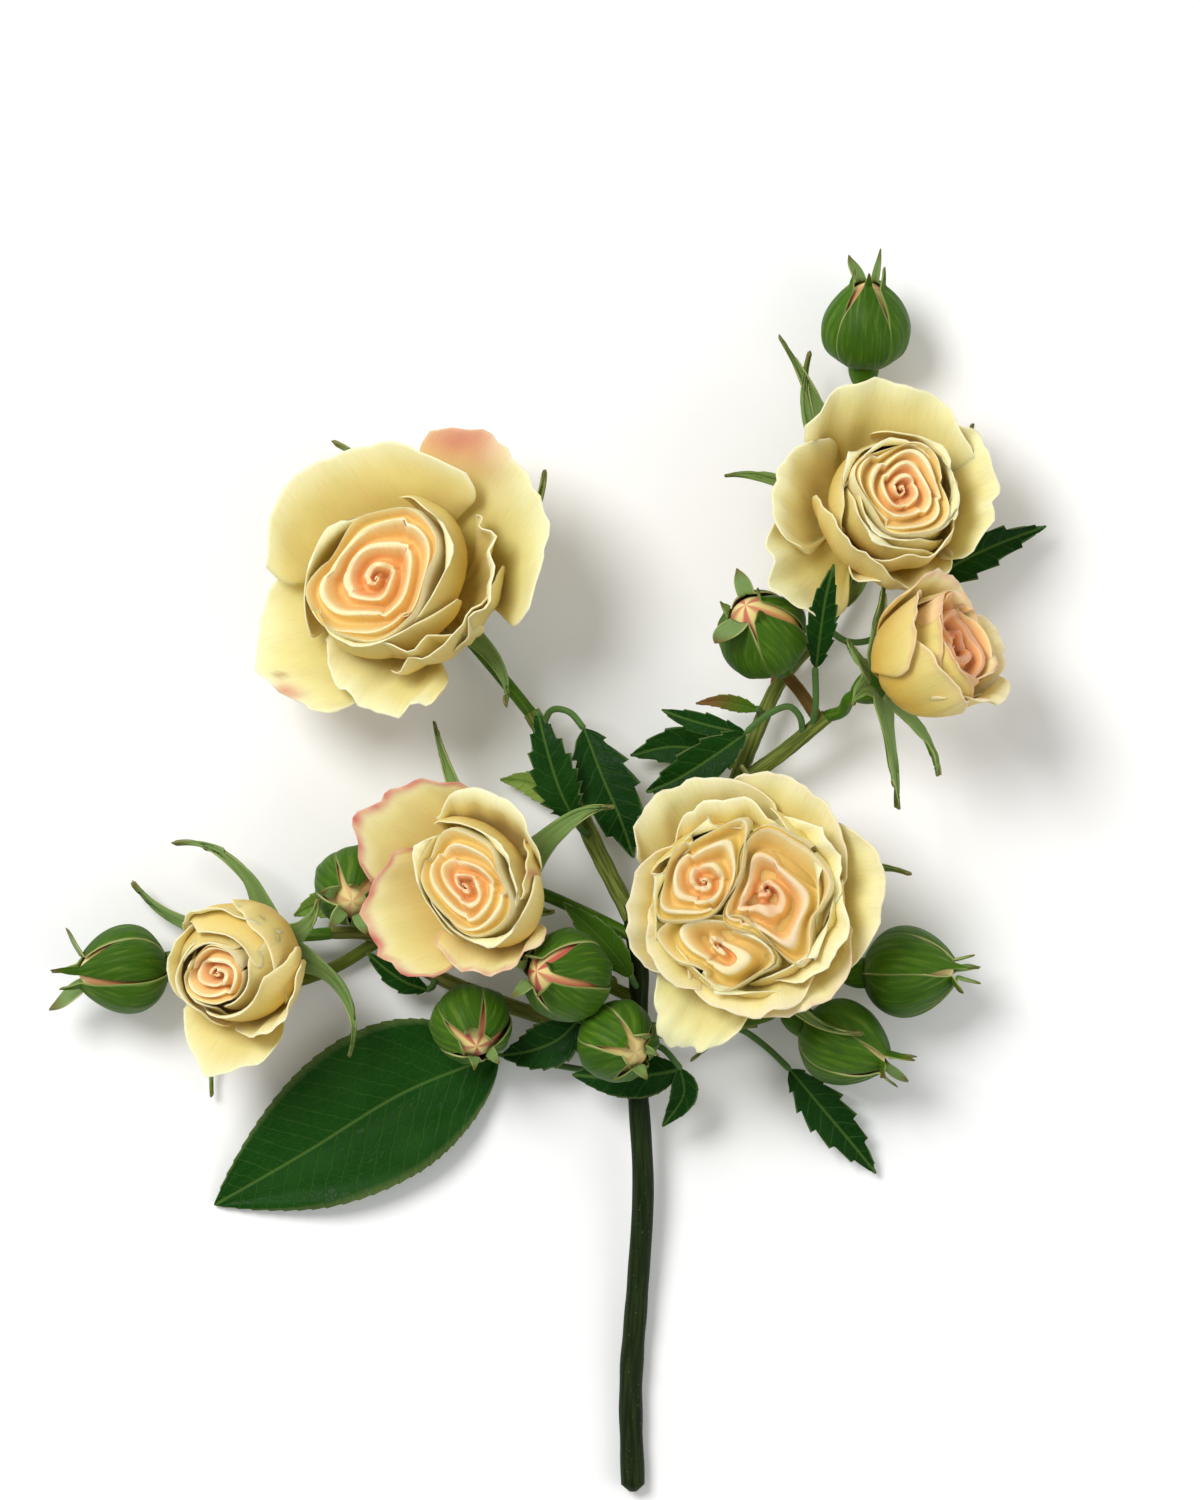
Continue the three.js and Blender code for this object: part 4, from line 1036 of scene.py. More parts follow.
# A compact bloom has its guard and inner petals in one piece. packed is the reach of the cup that several
# rolls fill together, and cushion is the (radius, height) of the body under them.
BLOOMS = {
    "bloom_left": dict(
        at=(-36.7, 80.5, 11.5), heading=147, tilt=20, pedicel=[(-18.5, 60, 7.5), (-25, 68, 5.5)],
        guard=[
            petal(
                38, 34, 41, [78, 62, 48, 46, 56], 0.05, 0.9, curl=10,
                spots=[(RED, 0.72, 0.92, 0.42, 0.2, 0.75)],
            ),
            petal(120, 33, 44, [78, 58, 40, 36, 40], 0.22, 0.7, curl=6, point=(0.35, 0.03)),
            petal(
                203, 31, 30, [78, 66, 58, 60, 66], 0.12, 0.9, curl=16, point=(0.1, 0.06),
                spots=[(RED, 0.55, 0.97, 0.12, 0.06, 0.7), (BROWN, 0.3, 0.93, 0.05, 0.03, 0.9)],
            ),
            petal(250, 25, 25, [78, 64, 50, 50, 56], 0.12, 0.8, curl=20),
            petal(320, 28, 30, [80, 64, 30, 0, -8], 0.2, 0.5, curl=24, roll=1.0),
            petal(282, 27, 26, [80, 60, 22, -6, -14], 0.4, 0.4, curl=16, roll=0.8),
            petal(0, 28, 27, [78, 58, 34, 14, 8], 0.24, 0.6, curl=30),
        ],
        rings=[ring(3, 11.6, 23.4, 20, 0.3, flare=1.5, ruffle=0.25, overlap=1.5)],
        rolls=[
            roll(
                11.0, 23.7, 4.2, 205, (0.45, 0.92), {"dx": -3.6, "dy": 0.6, "along": 42, "by": 1.14},
                sink=3.5, opened=0.55, wobble=0.08, tuck=0.12,
            ),
        ],
        sepals=[
            sepal(108, 33, 84, 72),
            sepal(174, 29, 80, 70),
            sepal(250, 22, 84, 60, drift=-20),
            sepal(322, 24, 86, 60),
            sepal(32, 30, 86, 62, drift=14),
        ],
    ),
    "bloom_upper_right": dict(
        at=(41.8, 94.5, 11.5), heading=43, tilt=18, pedicel=[(34, 75.6, 4.3), (37, 81, 4.4)],
        guard=[
            petal(20, 26, 29, [78, 58, 38, 30, 36], 0.1, 0.8, curl=20),
            petal(88, 28, 35, [78, 58, 38, 32, 38], 0.12, 0.6, curl=14),
            petal(170, 25, 23, [78, 60, 44, 40, 46], 0.18, 0.9, curl=30),
            petal(215, 27, 22, [80, 68, 58, 54, 58], 0.08, 0.5, point=(0.0, 0.05)),
            petal(285, 20, 22, [78, 58, 38, 30, 26], 0.3, 0.4),
            petal(232, 25, 25, [78, 58, 24, -4, -12], 0.34, 0.4, curl=20, roll=0.8),
            petal(300, 24, 26, [78, 56, 20, -6, -14], 0.3, 0.3, curl=20, point=(0, -0.06)),
        ],
        rings=[
            ring(4, 9.8, 20.4, 50, 0.3, flare=1.8, ruffle=0.3),
            ring(3, 8.6, 21.0, 100, 0.4, flare=1.4, ruffle=0.25),
        ],
        rolls=[roll(8.3, 21.0, 4.8, 60, (0.35, 1.0), {"dx": 1.4, "dy": 1.8}, sink=1.6, opened=0.5)],
        sepals=[
            sepal(112, 36, 84, 56, drift=6),
            sepal(124, 31, 84, 66),
            sepal(152, 26, 86, 76, drift=12),
            sepal(262, 16, 86, 70),
            sepal(30, 25, 84, 60),
        ],
    ),
    "bloom_half_open": dict(
        at=(43.8, 66.2, 25.5), heading=28, tilt=58, compact=True, pedicel=[(34.2, 60, 14.8), (37, 61, 17.6)],
        guard=[
            petal(10, 23, 20, [78, 52, 18, 10, 22], 0.4, 0.5, curl=30, blush=0.2),
            petal(88, 23, 20, [78, 50, 16, 8, 20], 0.35, 0.6, curl=36, blush=0.5),
            petal(160, 22, 20, [78, 50, 16, 6, 14], 0.32, 0.5, curl=30, blush=0.35),
            petal(235, 22, 22, [78, 50, 16, 4, 8], 0.3, 0.4, curl=24, blush=0.2),
            petal(305, 23, 21, [78, 50, 16, 6, 18], 0.34, 0.6, curl=34, blush=0.15),
        ],
        rings=[ring(4, 7.9, 20.4, 60, 0.5, flare=0.9, ruffle=0.4, blush=0.5)],
        rolls=[
            roll(
                7.5, 19.8, 3.4, 60, (0.75, 1.0), {"along": 80, "by": 1.1}, sink=3.0, blush=0.45, wobble=0.14,
            ),
        ],
        sepals=[
            sepal(88, 17, 60, 34),
            sepal(150, 8, 84, 100),
            sepal(200, 9, 90, 110),
            sepal(262, 22, 92, 120, drift=10),
            sepal(318, 18, 84, 110, drift=-10),
        ],
    ),
    "bloom_centre_left": dict(
        at=(-23.9, 29.5, 16), heading=172, tilt=20, compact=True,
        pedicel=[(0.2, 20, 11.2), (-9, 24.5, 9.6), (-17, 28, 8.6)],
        guard=[
            petal(352, 21, 21, [78, 50, 20, 2, -8], 0.12, 0.4, spots=[(RED, 0.3, 0.9, 0.08, 0.16, 0.6)]),
            petal(75, 23, 24, [78, 52, 26, 22, 36], 0.3, 0.6, curl=50),
            petal(143, 27, 25, [78, 60, 48, 46, 52], 0.3, 0.8, blush=1.0, point=(0.3, 0.06)),
            petal(205, 25, 25, [78, 60, 44, 40, 50], 0.32, 0.7, blush=1.0, point=(-0.3, 0.05)),
            petal(280, 21, 22, [78, 56, 38, 30, 34], 0.34, 0.5, blush=0.6, point=(0.2, 0.08)),
        ],
        rings=[ring(3, 8.8, 19.4, 30, 0.3, flare=1.5, ruffle=0.3)],
        rolls=[
            roll(
                8.0, 19.9, 4.6, 120, (0.3, 1.0), {"along": -48, "by": 1.22}, sink=1.4, opened=0.5, blush=0.1,
            ),
        ],
        sepals=[
            sepal(118, 30, 84, 70, drift=-6),
            sepal(45, 26, 80, 52, width=8),
            sepal(196, 14, 88, 80),
            sepal(250, 12, 88, 80),
            sepal(322, 9, 84, 70),
        ],
    ),
    "bloom_quartered": dict(
        at=(20.9, 25.2, 15.5), heading=150, tilt=8, pedicel=[(0.3, 16, 11.1), (8, 20, 9), (15, 23.5, 7.6)],
        packed=14.7, cushion=(13.4, 16.0),
        guard=[
            petal(4, 27, 29, [79, 64, 54, 52, 60], 0.16, 0.8, curl=12, blush=0.15),
            petal(62, 27, 29, [78, 60, 50, 46, 50], 0.2, 0.8, curl=18, blush=0.15),
            petal(118, 28, 28, [78, 60, 50, 44, 50], 0.2, 0.8, curl=24, blush=0.1),
            petal(180, 25, 28, [78, 58, 44, 36, 40], 0.28, 0.8, curl=24, blush=0.2),
            petal(244, 29, 18, [78, 62, 56, 58, 74], 0.1, 0.9, curl=60, point=(-0.2, 0.07)),
            petal(305, 25, 29, [78, 60, 48, 42, 48], 0.24, 0.7, curl=30, blush=0.3),
            petal(30, 25, 22, [78, 54, 36, 30, 42], 0.26, 0.5, curl=20),
            petal(100, 25, 22, [78, 54, 36, 30, 42], 0.28, 0.5, curl=20),
            petal(210, 24, 22, [78, 54, 36, 30, 42], 0.28, 0.5, curl=20, blush=0.2),
            petal(276, 25, 24, [78, 54, 38, 34, 46], 0.3, 0.5, curl=20, blush=0.2),
            petal(335, 25, 22, [78, 54, 36, 30, 42], 0.26, 0.5, curl=24),
        ],
        rings=[ring(5, 14.6, 20.4, 25, 0.28, flare=2.6, ruffle=0.25, overlap=1.6, uneven=0.03)],
        rolls=[
            roll(7.6, 22.0, 3.8, 100, (0.25, 0.9), {"dx": -7.0, "dy": 4.4}, sink=1.6, blush=0.15, warp=0.4),
            roll(
                8.6, 21.2, 3.4, 40, (0.3, 1.0), {"dx": 3.6, "dy": 1.6}, sink=3.0, blush=0.25, petals=2.1,
                wobble=0.18, warp=0.9,
            ),
            roll(
                8.0, 20.8, 2.8, 250, (0.2, 0.85), {"dx": -4.8, "dy": -7.4}, sink=1.8, blush=0.1, wobble=0.18,
                warp=0.9,
            ),
        ],
        sepals=[
            sepal(80, 24, 84, 70),
            sepal(26, 28, 82, 66),
            sepal(150, 18, 86, 80),
            sepal(262, 27, 90, 84, width=3.4),
            sepal(288, 28, 88, 74, drift=24),
        ],
    ),
    "bloom_small_left": dict(
        at=(-65.5, 18.4, 12.5), heading=210, tilt=30, compact=True,
        pedicel=[(-55, 20.9, 6.4), (-58, 20.6, 6.8)],
        guard=[
            petal(35, 22, 25, [78, 50, 18, 0, -8], 0.45, 0.3, point=(0, -0.04)),
            petal(100, 22, 22, [78, 50, 20, 8, 6], 0.1, 0.4, curl=20),
            petal(175, 21, 20, [78, 50, 22, 10, 6], 0.24, 0.4, curl=16),
            petal(258, 25, 20, [78, 54, 34, 24, 28], 0.2, 0.4, point=(0, 0.1)),
            petal(318, 22, 21, [78, 50, 24, 12, 8], 0.24, 0.4, curl=20),
        ],
        rings=[
            ring(3, 7.6, 20.2, 60, 0.42, flare=0.5, bulge=0.4, ruffle=0.15),
            ring(3, 6.2, 20.8, 100, 0.45, flare=0.5, bulge=0.5, ruffle=0.15),
        ],
        rolls=[
            roll(5.4, 21.2, 3.6, 20, (0.45, 1.0), {"dx": -0.8, "dy": 0.4, "along": 30, "by": 1.08}, sink=1.4),
        ],
        sepals=[
            sepal(100, 24, 80, 96, drift=34),
            sepal(345, 22, 84, 110, drift=-40),
            sepal(231, 29, 84, 80, width=4),
            sepal(172, 27, 86, 84),
            sepal(30, 12, 84, 90),
        ],
    ),
}

# Closed buds. Each sepal is (reach over the body, free tip, lean of the tip). red is how red the stalk is.
BUDS = {
    "bud_top": dict(
        at=(41.2, 124.3, 8.5), heading=88, tilt=62, radius=7.0, height=15.5,
        pedicel=[(25.2, 64.6, 5), (27, 74, 2.4), (31, 92, 1.5), (37.4, 108, 2.4), (40.4, 117, 4.6)],
        sepals=[(0.95, 6, 10), (0.93, 5, 40), (0.9, 4, -10), (0.96, 3, 20), (0.92, 4, 0)], spin=50, red=0.9,
        slit=0.8,
    ),
    "bud_upper": dict(
        at=(24.9, 71, 19), heading=122, tilt=42, radius=7.1, height=15.5,
        pedicel=[(33, 59.2, 14.3), (29.6, 64.4, 14)],
        sepals=[(0.92, 3, 10), (0.9, 5, 50), (0.86, 3, 10), (0.9, 7, 70), (0.88, 3, 20)], spin=30, red=0.6,
        slit=0.9, open=0,
    ),
    "bud_far_left": dict(
        at=(-85.5, 14.8, 9.5), heading=184, tilt=74, radius=6.9, height=15.5,
        pedicel=[(-46, 19.8, 4.3), (-56, 14, 2.2), (-68, 11, 1.8), (-77, 13.6, 5.6)],
        sepals=[(0.96, 6, 14), (0.9, 6, 60), (0.94, 5, -8), (0.9, 7, 40), (0.94, 4, 6)], spin=20, red=0.2,
        slit=0.7,
    ),
    "bud_left": dict(
        at=(-50.4, 31.3, 7.6), heading=262, tilt=20, radius=6.3, height=13,
        pedicel=[(-47, 20.3, 4.5), (-48.8, 26, 1.7), (-50.6, 30, 1.8)],
        sepals=[(0.92, 2.5, 10), (0.9, 3, 20), (0.88, 4, 40), (0.93, 4, 50), (0.9, 4, 50)], spin=10, red=0.3,
        slit=0.4,
    ),
    "bud_lower_left": dict(
        at=(-30.4, 7.6, 10.4), heading=285, tilt=32, radius=6.3, height=13,
        pedicel=[(-26, 8.8, 3.5), (-29.3, 10.4, 3.9)],
        sepals=[(0.92, 3, 20), (0.9, 4, 40), (0.88, 4, -10), (0.93, 3, 10), (0.9, 3, 30)], spin=40, red=0.2,
        slit=0.9,
    ),
    "bud_centre": dict(
        at=(-8.4, 13, 19), heading=170, tilt=38, radius=7.3, height=15.5,
        pedicel=[(0.2, 9, 10.4), (-5, 11.6, 11.2)],
        sepals=[(0.92, 3, 20), (0.94, 4, 0), (0.86, 3, 40), (0.93, 4, 50), (0.9, 5, 30)], spin=16, red=0.2,
        slit=1.0, open=2,
    ),
    "bud_lower_centre": dict(
        at=(-5.6, 3.2, 16.5), heading=330, tilt=30, radius=6.4, height=12.5,
        pedicel=[(0, -3, 8.6), (-3.6, -0.5, 9.2)],
        sepals=[(0.92, 3, 20), (0.9, 4, 20), (0.88, 4, 0), (0.93, 3, 10), (0.9, 3, 30)], spin=0, red=0.2,
        slit=0.3,
    ),
    "bud_right": dict(
        at=(42, 13.8, 10.5), heading=2, tilt=78, radius=7.2, height=15.5,
        pedicel=[(14, 3.8, 6.9), (24, 9.6, 6.8), (33, 13.2, 8.6)],
        sepals=[(0.98, 5, 40), (0.96, 4, 10), (0.97, 5, -20), (0.95, 4, 60), (0.98, 4, 20)], spin=8, red=0.1,
        slit=0.15,
    ),
    "bud_lower_right": dict(
        at=(31.2, 4.4, 10.5), heading=334, tilt=74, radius=6.8, height=15.5,
        pedicel=[(19, 4.6, 6.4), (24, 6.2, 7.6)],
        sepals=[(0.97, 5, 30), (0.95, 6, 14), (0.97, 6, 60), (0.95, 4, 10), (0.97, 5, 40)], spin=30, red=0.1,
        slit=0.2,
    ),
}

# Leaves and bracts: the stalk's points, then the blades.
LEAVES = {
    "leaf_large_left": (
        [(-0.2, -5, 8.2), (-9, -4, 4.6), (-25, -1.2, 2.6)],
        [
            blade(
                [(-25, -1.2, 2.6), (-42, -8, 4.4), (-60, -19, 3.4), (-76.5, -28.6, 0.9)], 28.5, fold=6,
                teeth=26, bite=0.02, wave=0.5, warmth=0.35,
            ),
        ],
    ),
    "leaf_centre": (
        [(-8.4, 3.5, 6.5), (-9.4, 4.4, 9), (-10.6, 5.4, 9.6)],
        [
            blade([(-10.4, 5.2, 9.6), (-14, 1.8, 9), (-19, -0.4, 7.4), (-24.5, -1.4, 5.4)], 9.5, teeth=9),
            blade([(-10.4, 5.2, 9.6), (-13.6, 10.4, 9.8), (-17.6, 15, 9.6), (-23.5, 18.2, 8.6)], 7, teeth=8),
        ],
    ),
    "leaf_front": (
        [(0.2, 1, 9.3), (4.5, 0.4, 12.2), (8.2, -3.6, 13.2)],
        [
            blade(
                [(8, -3.6, 13.2), (2, -4.6, 13.8), (-5, -5, 12.8), (-11.5, -4.6, 9.8)], 8.5, fold=-14,
                teeth=12, bite=0.04,
            ),
            blade([(8, -3.4, 13.2), (8.6, -8, 12.2), (4.8, -14, 9.6)], 5.5, fold=20, teeth=6, bite=0.06),
        ],
    ),
    "leaf_fan": (
        [(-17, 57.8, 7.8), (-15.2, 61.2, 10.6), (-12, 60.8, 12.8), (-9.2, 57.6, 13.5)],
        [
            blade(
                [(-9.3, 57.7, 13.5), (-6, 49, 15), (-3, 42, 15.6), (-0.4, 34.6, 15.2)], 12.5, teeth=5,
                bite=0.24,
            ),
        ],
    ),
    "leaf_serrated_left": (
        [(-8, 38, 9.5), (-9.8, 39.6, 13), (-11.2, 41.6, 16)],
        [
            blade(
                [(-11.2, 41.5, 16.6), (-13.8, 47, 18.6), (-16, 54, 19.2), (-17.8, 61.3, 18)], 9.5, teeth=8,
                bite=0.26,
            ),
        ],
    ),
    "leaf_forked": (
        [(30, 56.6, 13.2), (29.4, 60, 16.8), (27.4, 61.8, 18.4), (24, 60.6, 18), (19.3, 56.8, 17)],
        [
            blade(
                [(19.6, 57, 17), (14, 58.2, 16.6), (9, 59.6, 15.8), (4.6, 61.2, 14.6)], 4.6, teeth=4,
                bite=0.2,
            ),
            blade(
                [(19.6, 57, 17), (14, 53, 16.4), (7, 48.6, 15.4), (1.8, 46.4, 14.4)], 8.5, teeth=5, bite=0.2,
            ),
        ],
    ),
    "leaf_back": (
        [(18.8, 50, 8), (16.6, 52.6, 6.4)],
        [blade([(17, 52.2, 6.6), (12, 54, 5.6), (6, 54.6, 5.2), (-1, 53, 4.4)], 9, teeth=7)],
    ),
    "leaf_right": (
        [(34.6, 76, 4.3), (38.5, 73.6, 5.2), (43.5, 74.4, 6.6), (50, 81.8, 8.5)],
        [blade([(49.8, 81.6, 8.4), (57, 87, 9.4), (65, 91, 9), (74.2, 94.5, 7)], 9, teeth=6, bite=0.28)],
    ),
    "bract_upper": (
        [(31.6, 58, 13.8), (32.2, 62, 18.4), (32, 69, 22.4)],
        [blade([(32.2, 68.8, 22.3), (32.8, 75, 27.4), (33.6, 81, 31.4), (35, 87, 34)], 6, teeth=6, bite=0.2)],
    ),
    "leaf_lower_right": (
        [(16, 4.3, 6.6), (19.4, 3.2, 4.8), (23.6, 0.2, 3.8), (28.2, -4.2, 3.6)],
        [
            blade(
                [(28, -4, 3.6), (33, -10, 4.4), (38.4, -16.4, 3.8), (43.6, -22.8, 2)], 9.4, teeth=6,
                bite=0.26,
            ),
        ],
    ),
    "bract_left": (
        [(-36.6, 13.3, 3.2), (-36.8, 11.2, 5.2), (-38, 10.6, 6.2)],
        [
            blade(
                [(-37.8, 10.6, 6.2), (-41.6, 12, 7.4), (-45.2, 14.4, 8), (-48.8, 17.6, 8)], 5, teeth=4,
                bite=0.2,
            ),
        ],
    ),
    "bract_centre": (
        [(0.3, 11, 10.8), (-0.4, 12.2, 14), (-1, 13.6, 15.2)],
        [
            blade(
                [(-0.8, 13.2, 15), (-4.4, 18, 16), (-8.6, 22.4, 16), (-13.2, 26.6, 15)], 6.5, fold=26,
                warmth=0.6,
            ),
        ],
    ),
    "bract_far_left": (
        [(-45, 19, 4.2), (-46.6, 21.8, 6.4), (-50.2, 25.2, 5.8)],
        [blade([(-50, 24.8, 5.6), (-54, 26.2, 5.6), (-58.2, 25.8, 6.4), (-61.8, 24, 7)], 6, warmth=0.9)],
    ),
    "leaf_pale_back": (
        [(-6.4, 35.2, 9.8), (-9.8, 40.4, 5.8), (-12, 43.4, 4.6)],
        [blade([(-11.8, 43.2, 4.6), (-16, 46.4, 4.4), (-20, 48.2, 4), (-24.6, 48.6, 3.2)], 5.4, warmth=1.0)],
    ),
    "shoot_tip": (
        [(23, 60, 6), (21.8, 61.6, 9)],
        [
            blade(
                [(22, 61.2, 8.6), (18.6, 62.2, 9.6), (15, 62.8, 9.8), (10.8, 62.4, 9.4)], 3.2, warmth=0.7,
                red=0.7,
            ),
        ],
    ),
}


# ---- Stems ----


def add_limb(name, points, start_radius, end_radius, red):
    """A shoot with slight swellings where its branches leave it."""
    tissue = Tissue()
    path = path_through(points, 90)
    share = np.linspace(0, 1, len(path))
    radii = start_radius + (end_radius - start_radius) * share
    radii = radii * (1 + 0.05 * waves(14 * share, 0 * share, len(name)))
    tissue.tube(path, radii, 0.5, sides=20, red=red, seed=len(name))
    tissue.piece(f"fine_{name}", name, STEM if name == "main_stem" else SHOOT, "stem")


def add_pedicel(tissue, flower, to_plan, hip_bottom, red):
    """A flower's stalk, from its limb up into its hip."""
    ends = to_plan(np.array([[0, 0, hip_bottom - 1], [0, 0, hip_bottom + 1]], float))
    path = path_through([*flower["pedicel"], *ends], 40)
    share = np.linspace(0, 1, len(path))
    radii = PEDICEL_RADIUS * (1 + 0.12 * smoothstep(0.75, 1, share) + 0.03 * waves(9 * share, 0 * share, 3))
    tissue.tube(path, radii, 0.5, red=red, seed=2.0)


def add_hip(tissue, to_plan, radius, length, top):
    """The green urn under a flower."""
    profile = [(0.3, top - length), (PEDICEL_RADIUS, top - length + 0.05)]
    for share in np.linspace(0.08, 0.96, 12):
        swelling = math.sin(share * math.pi * 0.62) ** 0.8
        profile.append((PEDICEL_RADIUS + (radius - PEDICEL_RADIUS) * swelling, top - length * (1 - share)))
    profile += [(radius * 0.9, top), (0.3, top)]
    tissue.turned(profile, to_plan, 0.45, seed=4.0)


# ---- Open blooms ----


def add_calyx(name, bloom, to_plan):
    """A bloom's hip and pedicel, with the sepals that open under its petals."""
    tissue = Tissue()
    add_hip(tissue, to_plan, HIP_RADIUS, HIP_LENGTH, -GAP)
    add_pedicel(tissue, bloom, to_plan, -GAP - HIP_LENGTH, 0.0)
    for i, (azimuth, length, middle, tip, options) in enumerate(bloom["sepals"]):
        lean = [84, (84 + middle) / 2, middle, (middle + tip) / 2, tip]
        petal_sheet(
            tissue,
            to_plan,
            leaning(lean, length, HIP_RADIUS - 1, -SEPAL_THICKNESS / 2 - GAP),
            azimuth,
            options.get("width", SEPAL_WIDTH),
            outline=sepal_outline,
            cup=1.1,
            yaw=0,
            shoulder=0,
            drift=options.get("drift", 14 * (-1) ** i),
            ruffle=0.6,
            pleats=0.5,
            keel=0.3,
            warmth=0.35 + 0.12 * (i % 3),
            spots=[(BROWN, 0, 1.0, 1.5, 0.07, 0.7)],
            seed=11 + i,
            thickness=SEPAL_THICKNESS,
            rows=34,
            columns=13,
        )
    tissue.piece(f"fine_{name}_calyx", f"{name}_calyx", GREEN, "calyx")


def add_guard_petals(tissue, bloom, to_plan):
    pleats = 0.6 if bloom.get("compact") else 1.5
    for i, (azimuth, length, width, lean, options) in enumerate(bloom["guard"]):
        options = {"pleats": pleats, "seed": 21 + i * 3 + int(azimuth), **options}
        side = leaning(lean, length, PETAL_START, 0.4 + 0.25 * i, options.pop("curl", 0))
        petal_sheet(tissue, to_plan, side, azimuth, width, **options)


def add_inner_petals(tissue, bloom, to_plan):
    """The rings of petals round the heart, which move with it where there is one roll."""
    places = [place for _, _, place in bloom["rolls"]]
    shift = places[0] if len(places) == 1 else {}
    belly = None
    for *ring, options in bloom["rings"]:
        whorl_of_petals(tissue, to_plan, (*ring, {"squash": stretched(**shift), **options}), belly)
        if belly is None:
            belly = ring[1] * (1 + options.get("bulge", 0.12))
        belly -= NEST


def add_heart(tissue, bloom, to_plan):
    """The roll in a bloom's middle, or several rolls side by side with a cushion under them."""
    if "cushion" in bloom:
        radius, height = bloom["cushion"]
        walls = [(0.7 * radius, 0.5 * height), (radius, 0.8 * height), (radius, 0.95 * height)]
        tissue.turned([(0.3, 3), *walls, (0.3, height)], to_plan, 0.8)
    centres = [(place.get("dx", 0), place.get("dy", 0)) for _, _, place in bloom["rolls"]]
    for k, (shape, warmth, place) in enumerate(bloom["rolls"]):
        if "packed" in bloom:
            shape = {**shape, "outline": packed_outline(centres, k, bloom["packed"])}
        rolled_heart(tissue, to_plan, shape, warmth, stretched(**place))


def add_bloom(name, bloom):
    to_plan = flower_frame(bloom["at"], bloom["heading"], bloom["tilt"])
    add_calyx(name, bloom, to_plan)
    guard, heart = Tissue(), Tissue()
    inner = guard if bloom.get("compact") else Tissue()
    add_guard_petals(guard, bloom, to_plan)
    add_inner_petals(inner, bloom, to_plan)
    add_heart(heart, bloom, to_plan)
    if inner is guard:
        sheets = [("petals", guard)]
    else:
        sheets = [("guard_petals", guard), ("inner_petals", inner)]
    for part, tissue in sheets:
        tissue.piece(f"fine_{name}_{part}", f"{name}_{part}", PETAL, "petal")
    heart.piece(f"fine_{name}_heart", f"{name}_heart", PETAL, "heart")


# ---- Closed buds ----


def bud_shape(share):
    """The radius of a bud's egg-shaped body at a share of its height, as a share of its widest."""
    return np.maximum(0, np.sin(math.pi * share**0.82)) ** 0.62 * (1 - 0.12 * share)


def add_bud_petals(name, bud, to_plan):
    """The rolled petals that show in the slits between a bud's sepals: cream with red edges."""
    spin = math.radians(bud["spin"] + 36)

    def streaks(turn, along):
        phase = np.cos(5 * (turn - spin) + 1.2 * along)
        mark = np.zeros((*turn.shape, 3))
        mark[..., RED] = bud["slit"] * smoothstep(-0.4, 0.7, phase * (0.7 + 0.3 * np.sin(3 * turn)))
        return mark

    tissue = Tissue()
    shares = np.linspace(0.004, 0.996, 36)
    profile = [(max(0.15, bud["radius"] * bud_shape(s)), bud["height"] * s) for s in shares]
    tissue.turned(profile, to_plan, 0.15, segments=72, seed=6.0, marks=streaks)
    tissue.piece(f"fine_{name}_petals", f"{name}_petals", PETAL, "bud")


def add_bud_sepal(tissue, bud, to_plan, i, reach, tip, tip_lean):
    """A sepal that hugs a bud's body and then leaves its tip."""
    rows, columns = 40, 19
    u = np.linspace(-1, 1, columns)[None, :] * np.ones((rows, 1))
    v = np.linspace(0, 1, rows)[:, None] * np.ones((1, columns))
    free = tip / (bud["height"] * reach + tip)
    share = 0.02 + (reach - 0.02) * np.minimum(v / (1 - free), 1)
    beyond = np.maximum(0, (v - (1 - free)) / free) * tip
    ahead, behind = (
        np.stack([bud["radius"] * bud_shape(share + step), bud["height"] * (share + step)], -1)
        for step in (0.01, -0.01)
    )
    along = (ahead - behind) / np.linalg.norm(ahead - behind, axis=-1, keepdims=True)
    ridge = 0.4 * np.exp(-((u / 0.16) ** 2)) * smoothstep(0.0, 0.2, v) * (1 - 0.5 * v)
    puff = 0.55 * (1 - u**2) * np.sin(math.pi * np.minimum(v / (1 - free), 1)) ** 0.7
    clear = GAP + SEPAL_THICKNESS / 2 + ridge + puff + 0.14 * i * np.abs(u)
    lean = math.radians(tip_lean)
    radius = bud["radius"] * bud_shape(share) + along[..., 1] * clear + beyond * math.sin(lean)
    height = bud["height"] * share - along[..., 0] * clear + beyond * math.cos(lean)
    radius = np.maximum(radius, 0.5)
    opened = 0.6 if bud.get("open") == i else 1.0 + 0.06 * ((i * 3) % 5 - 2)
    half_angle = np.radians(opened * BUD_SEPAL_SPREAD * (1 - v**3.6))
    half_angle = np.maximum(half_angle, (0.12 + 0.5 * (1 - v)) / radius)
    wander = np.radians(7 * waves(2 * v, 0 * v, 31 + i + int(bud["spin"])))
    turn = math.radians(bud["spin"] + 72 * i) + wander * v + u * half_angle
    curl = 1.1 * smoothstep(1 - free, 1, v) ** 2 * waves(3 * v, 0 * v, 47 + i)
    grid = polar(radius, turn, height + curl)
    skin = np.stack([u * half_angle * radius, v * (bud["height"] * reach + tip), 0 * u + i * 1.7], -1)
    tone = np.stack([v, np.abs(u), 0 * u + 0.3 + 0.1 * (i % 3), 0 * u], -1)
    mark = np.zeros((rows, columns, 3))
    mark[..., PALE] = (0.15 + 0.5 * (i % 2)) * smoothstep(0.9, 1, np.abs(u)) * (1 - smoothstep(0.7, 1, v))
    mark[..., BROWN] = 0.8 * smoothstep(1 - 0.5 * free, 1, v)
    tissue.sheet(to_plan(grid), SEPAL_THICKNESS, skin, tone, mark)


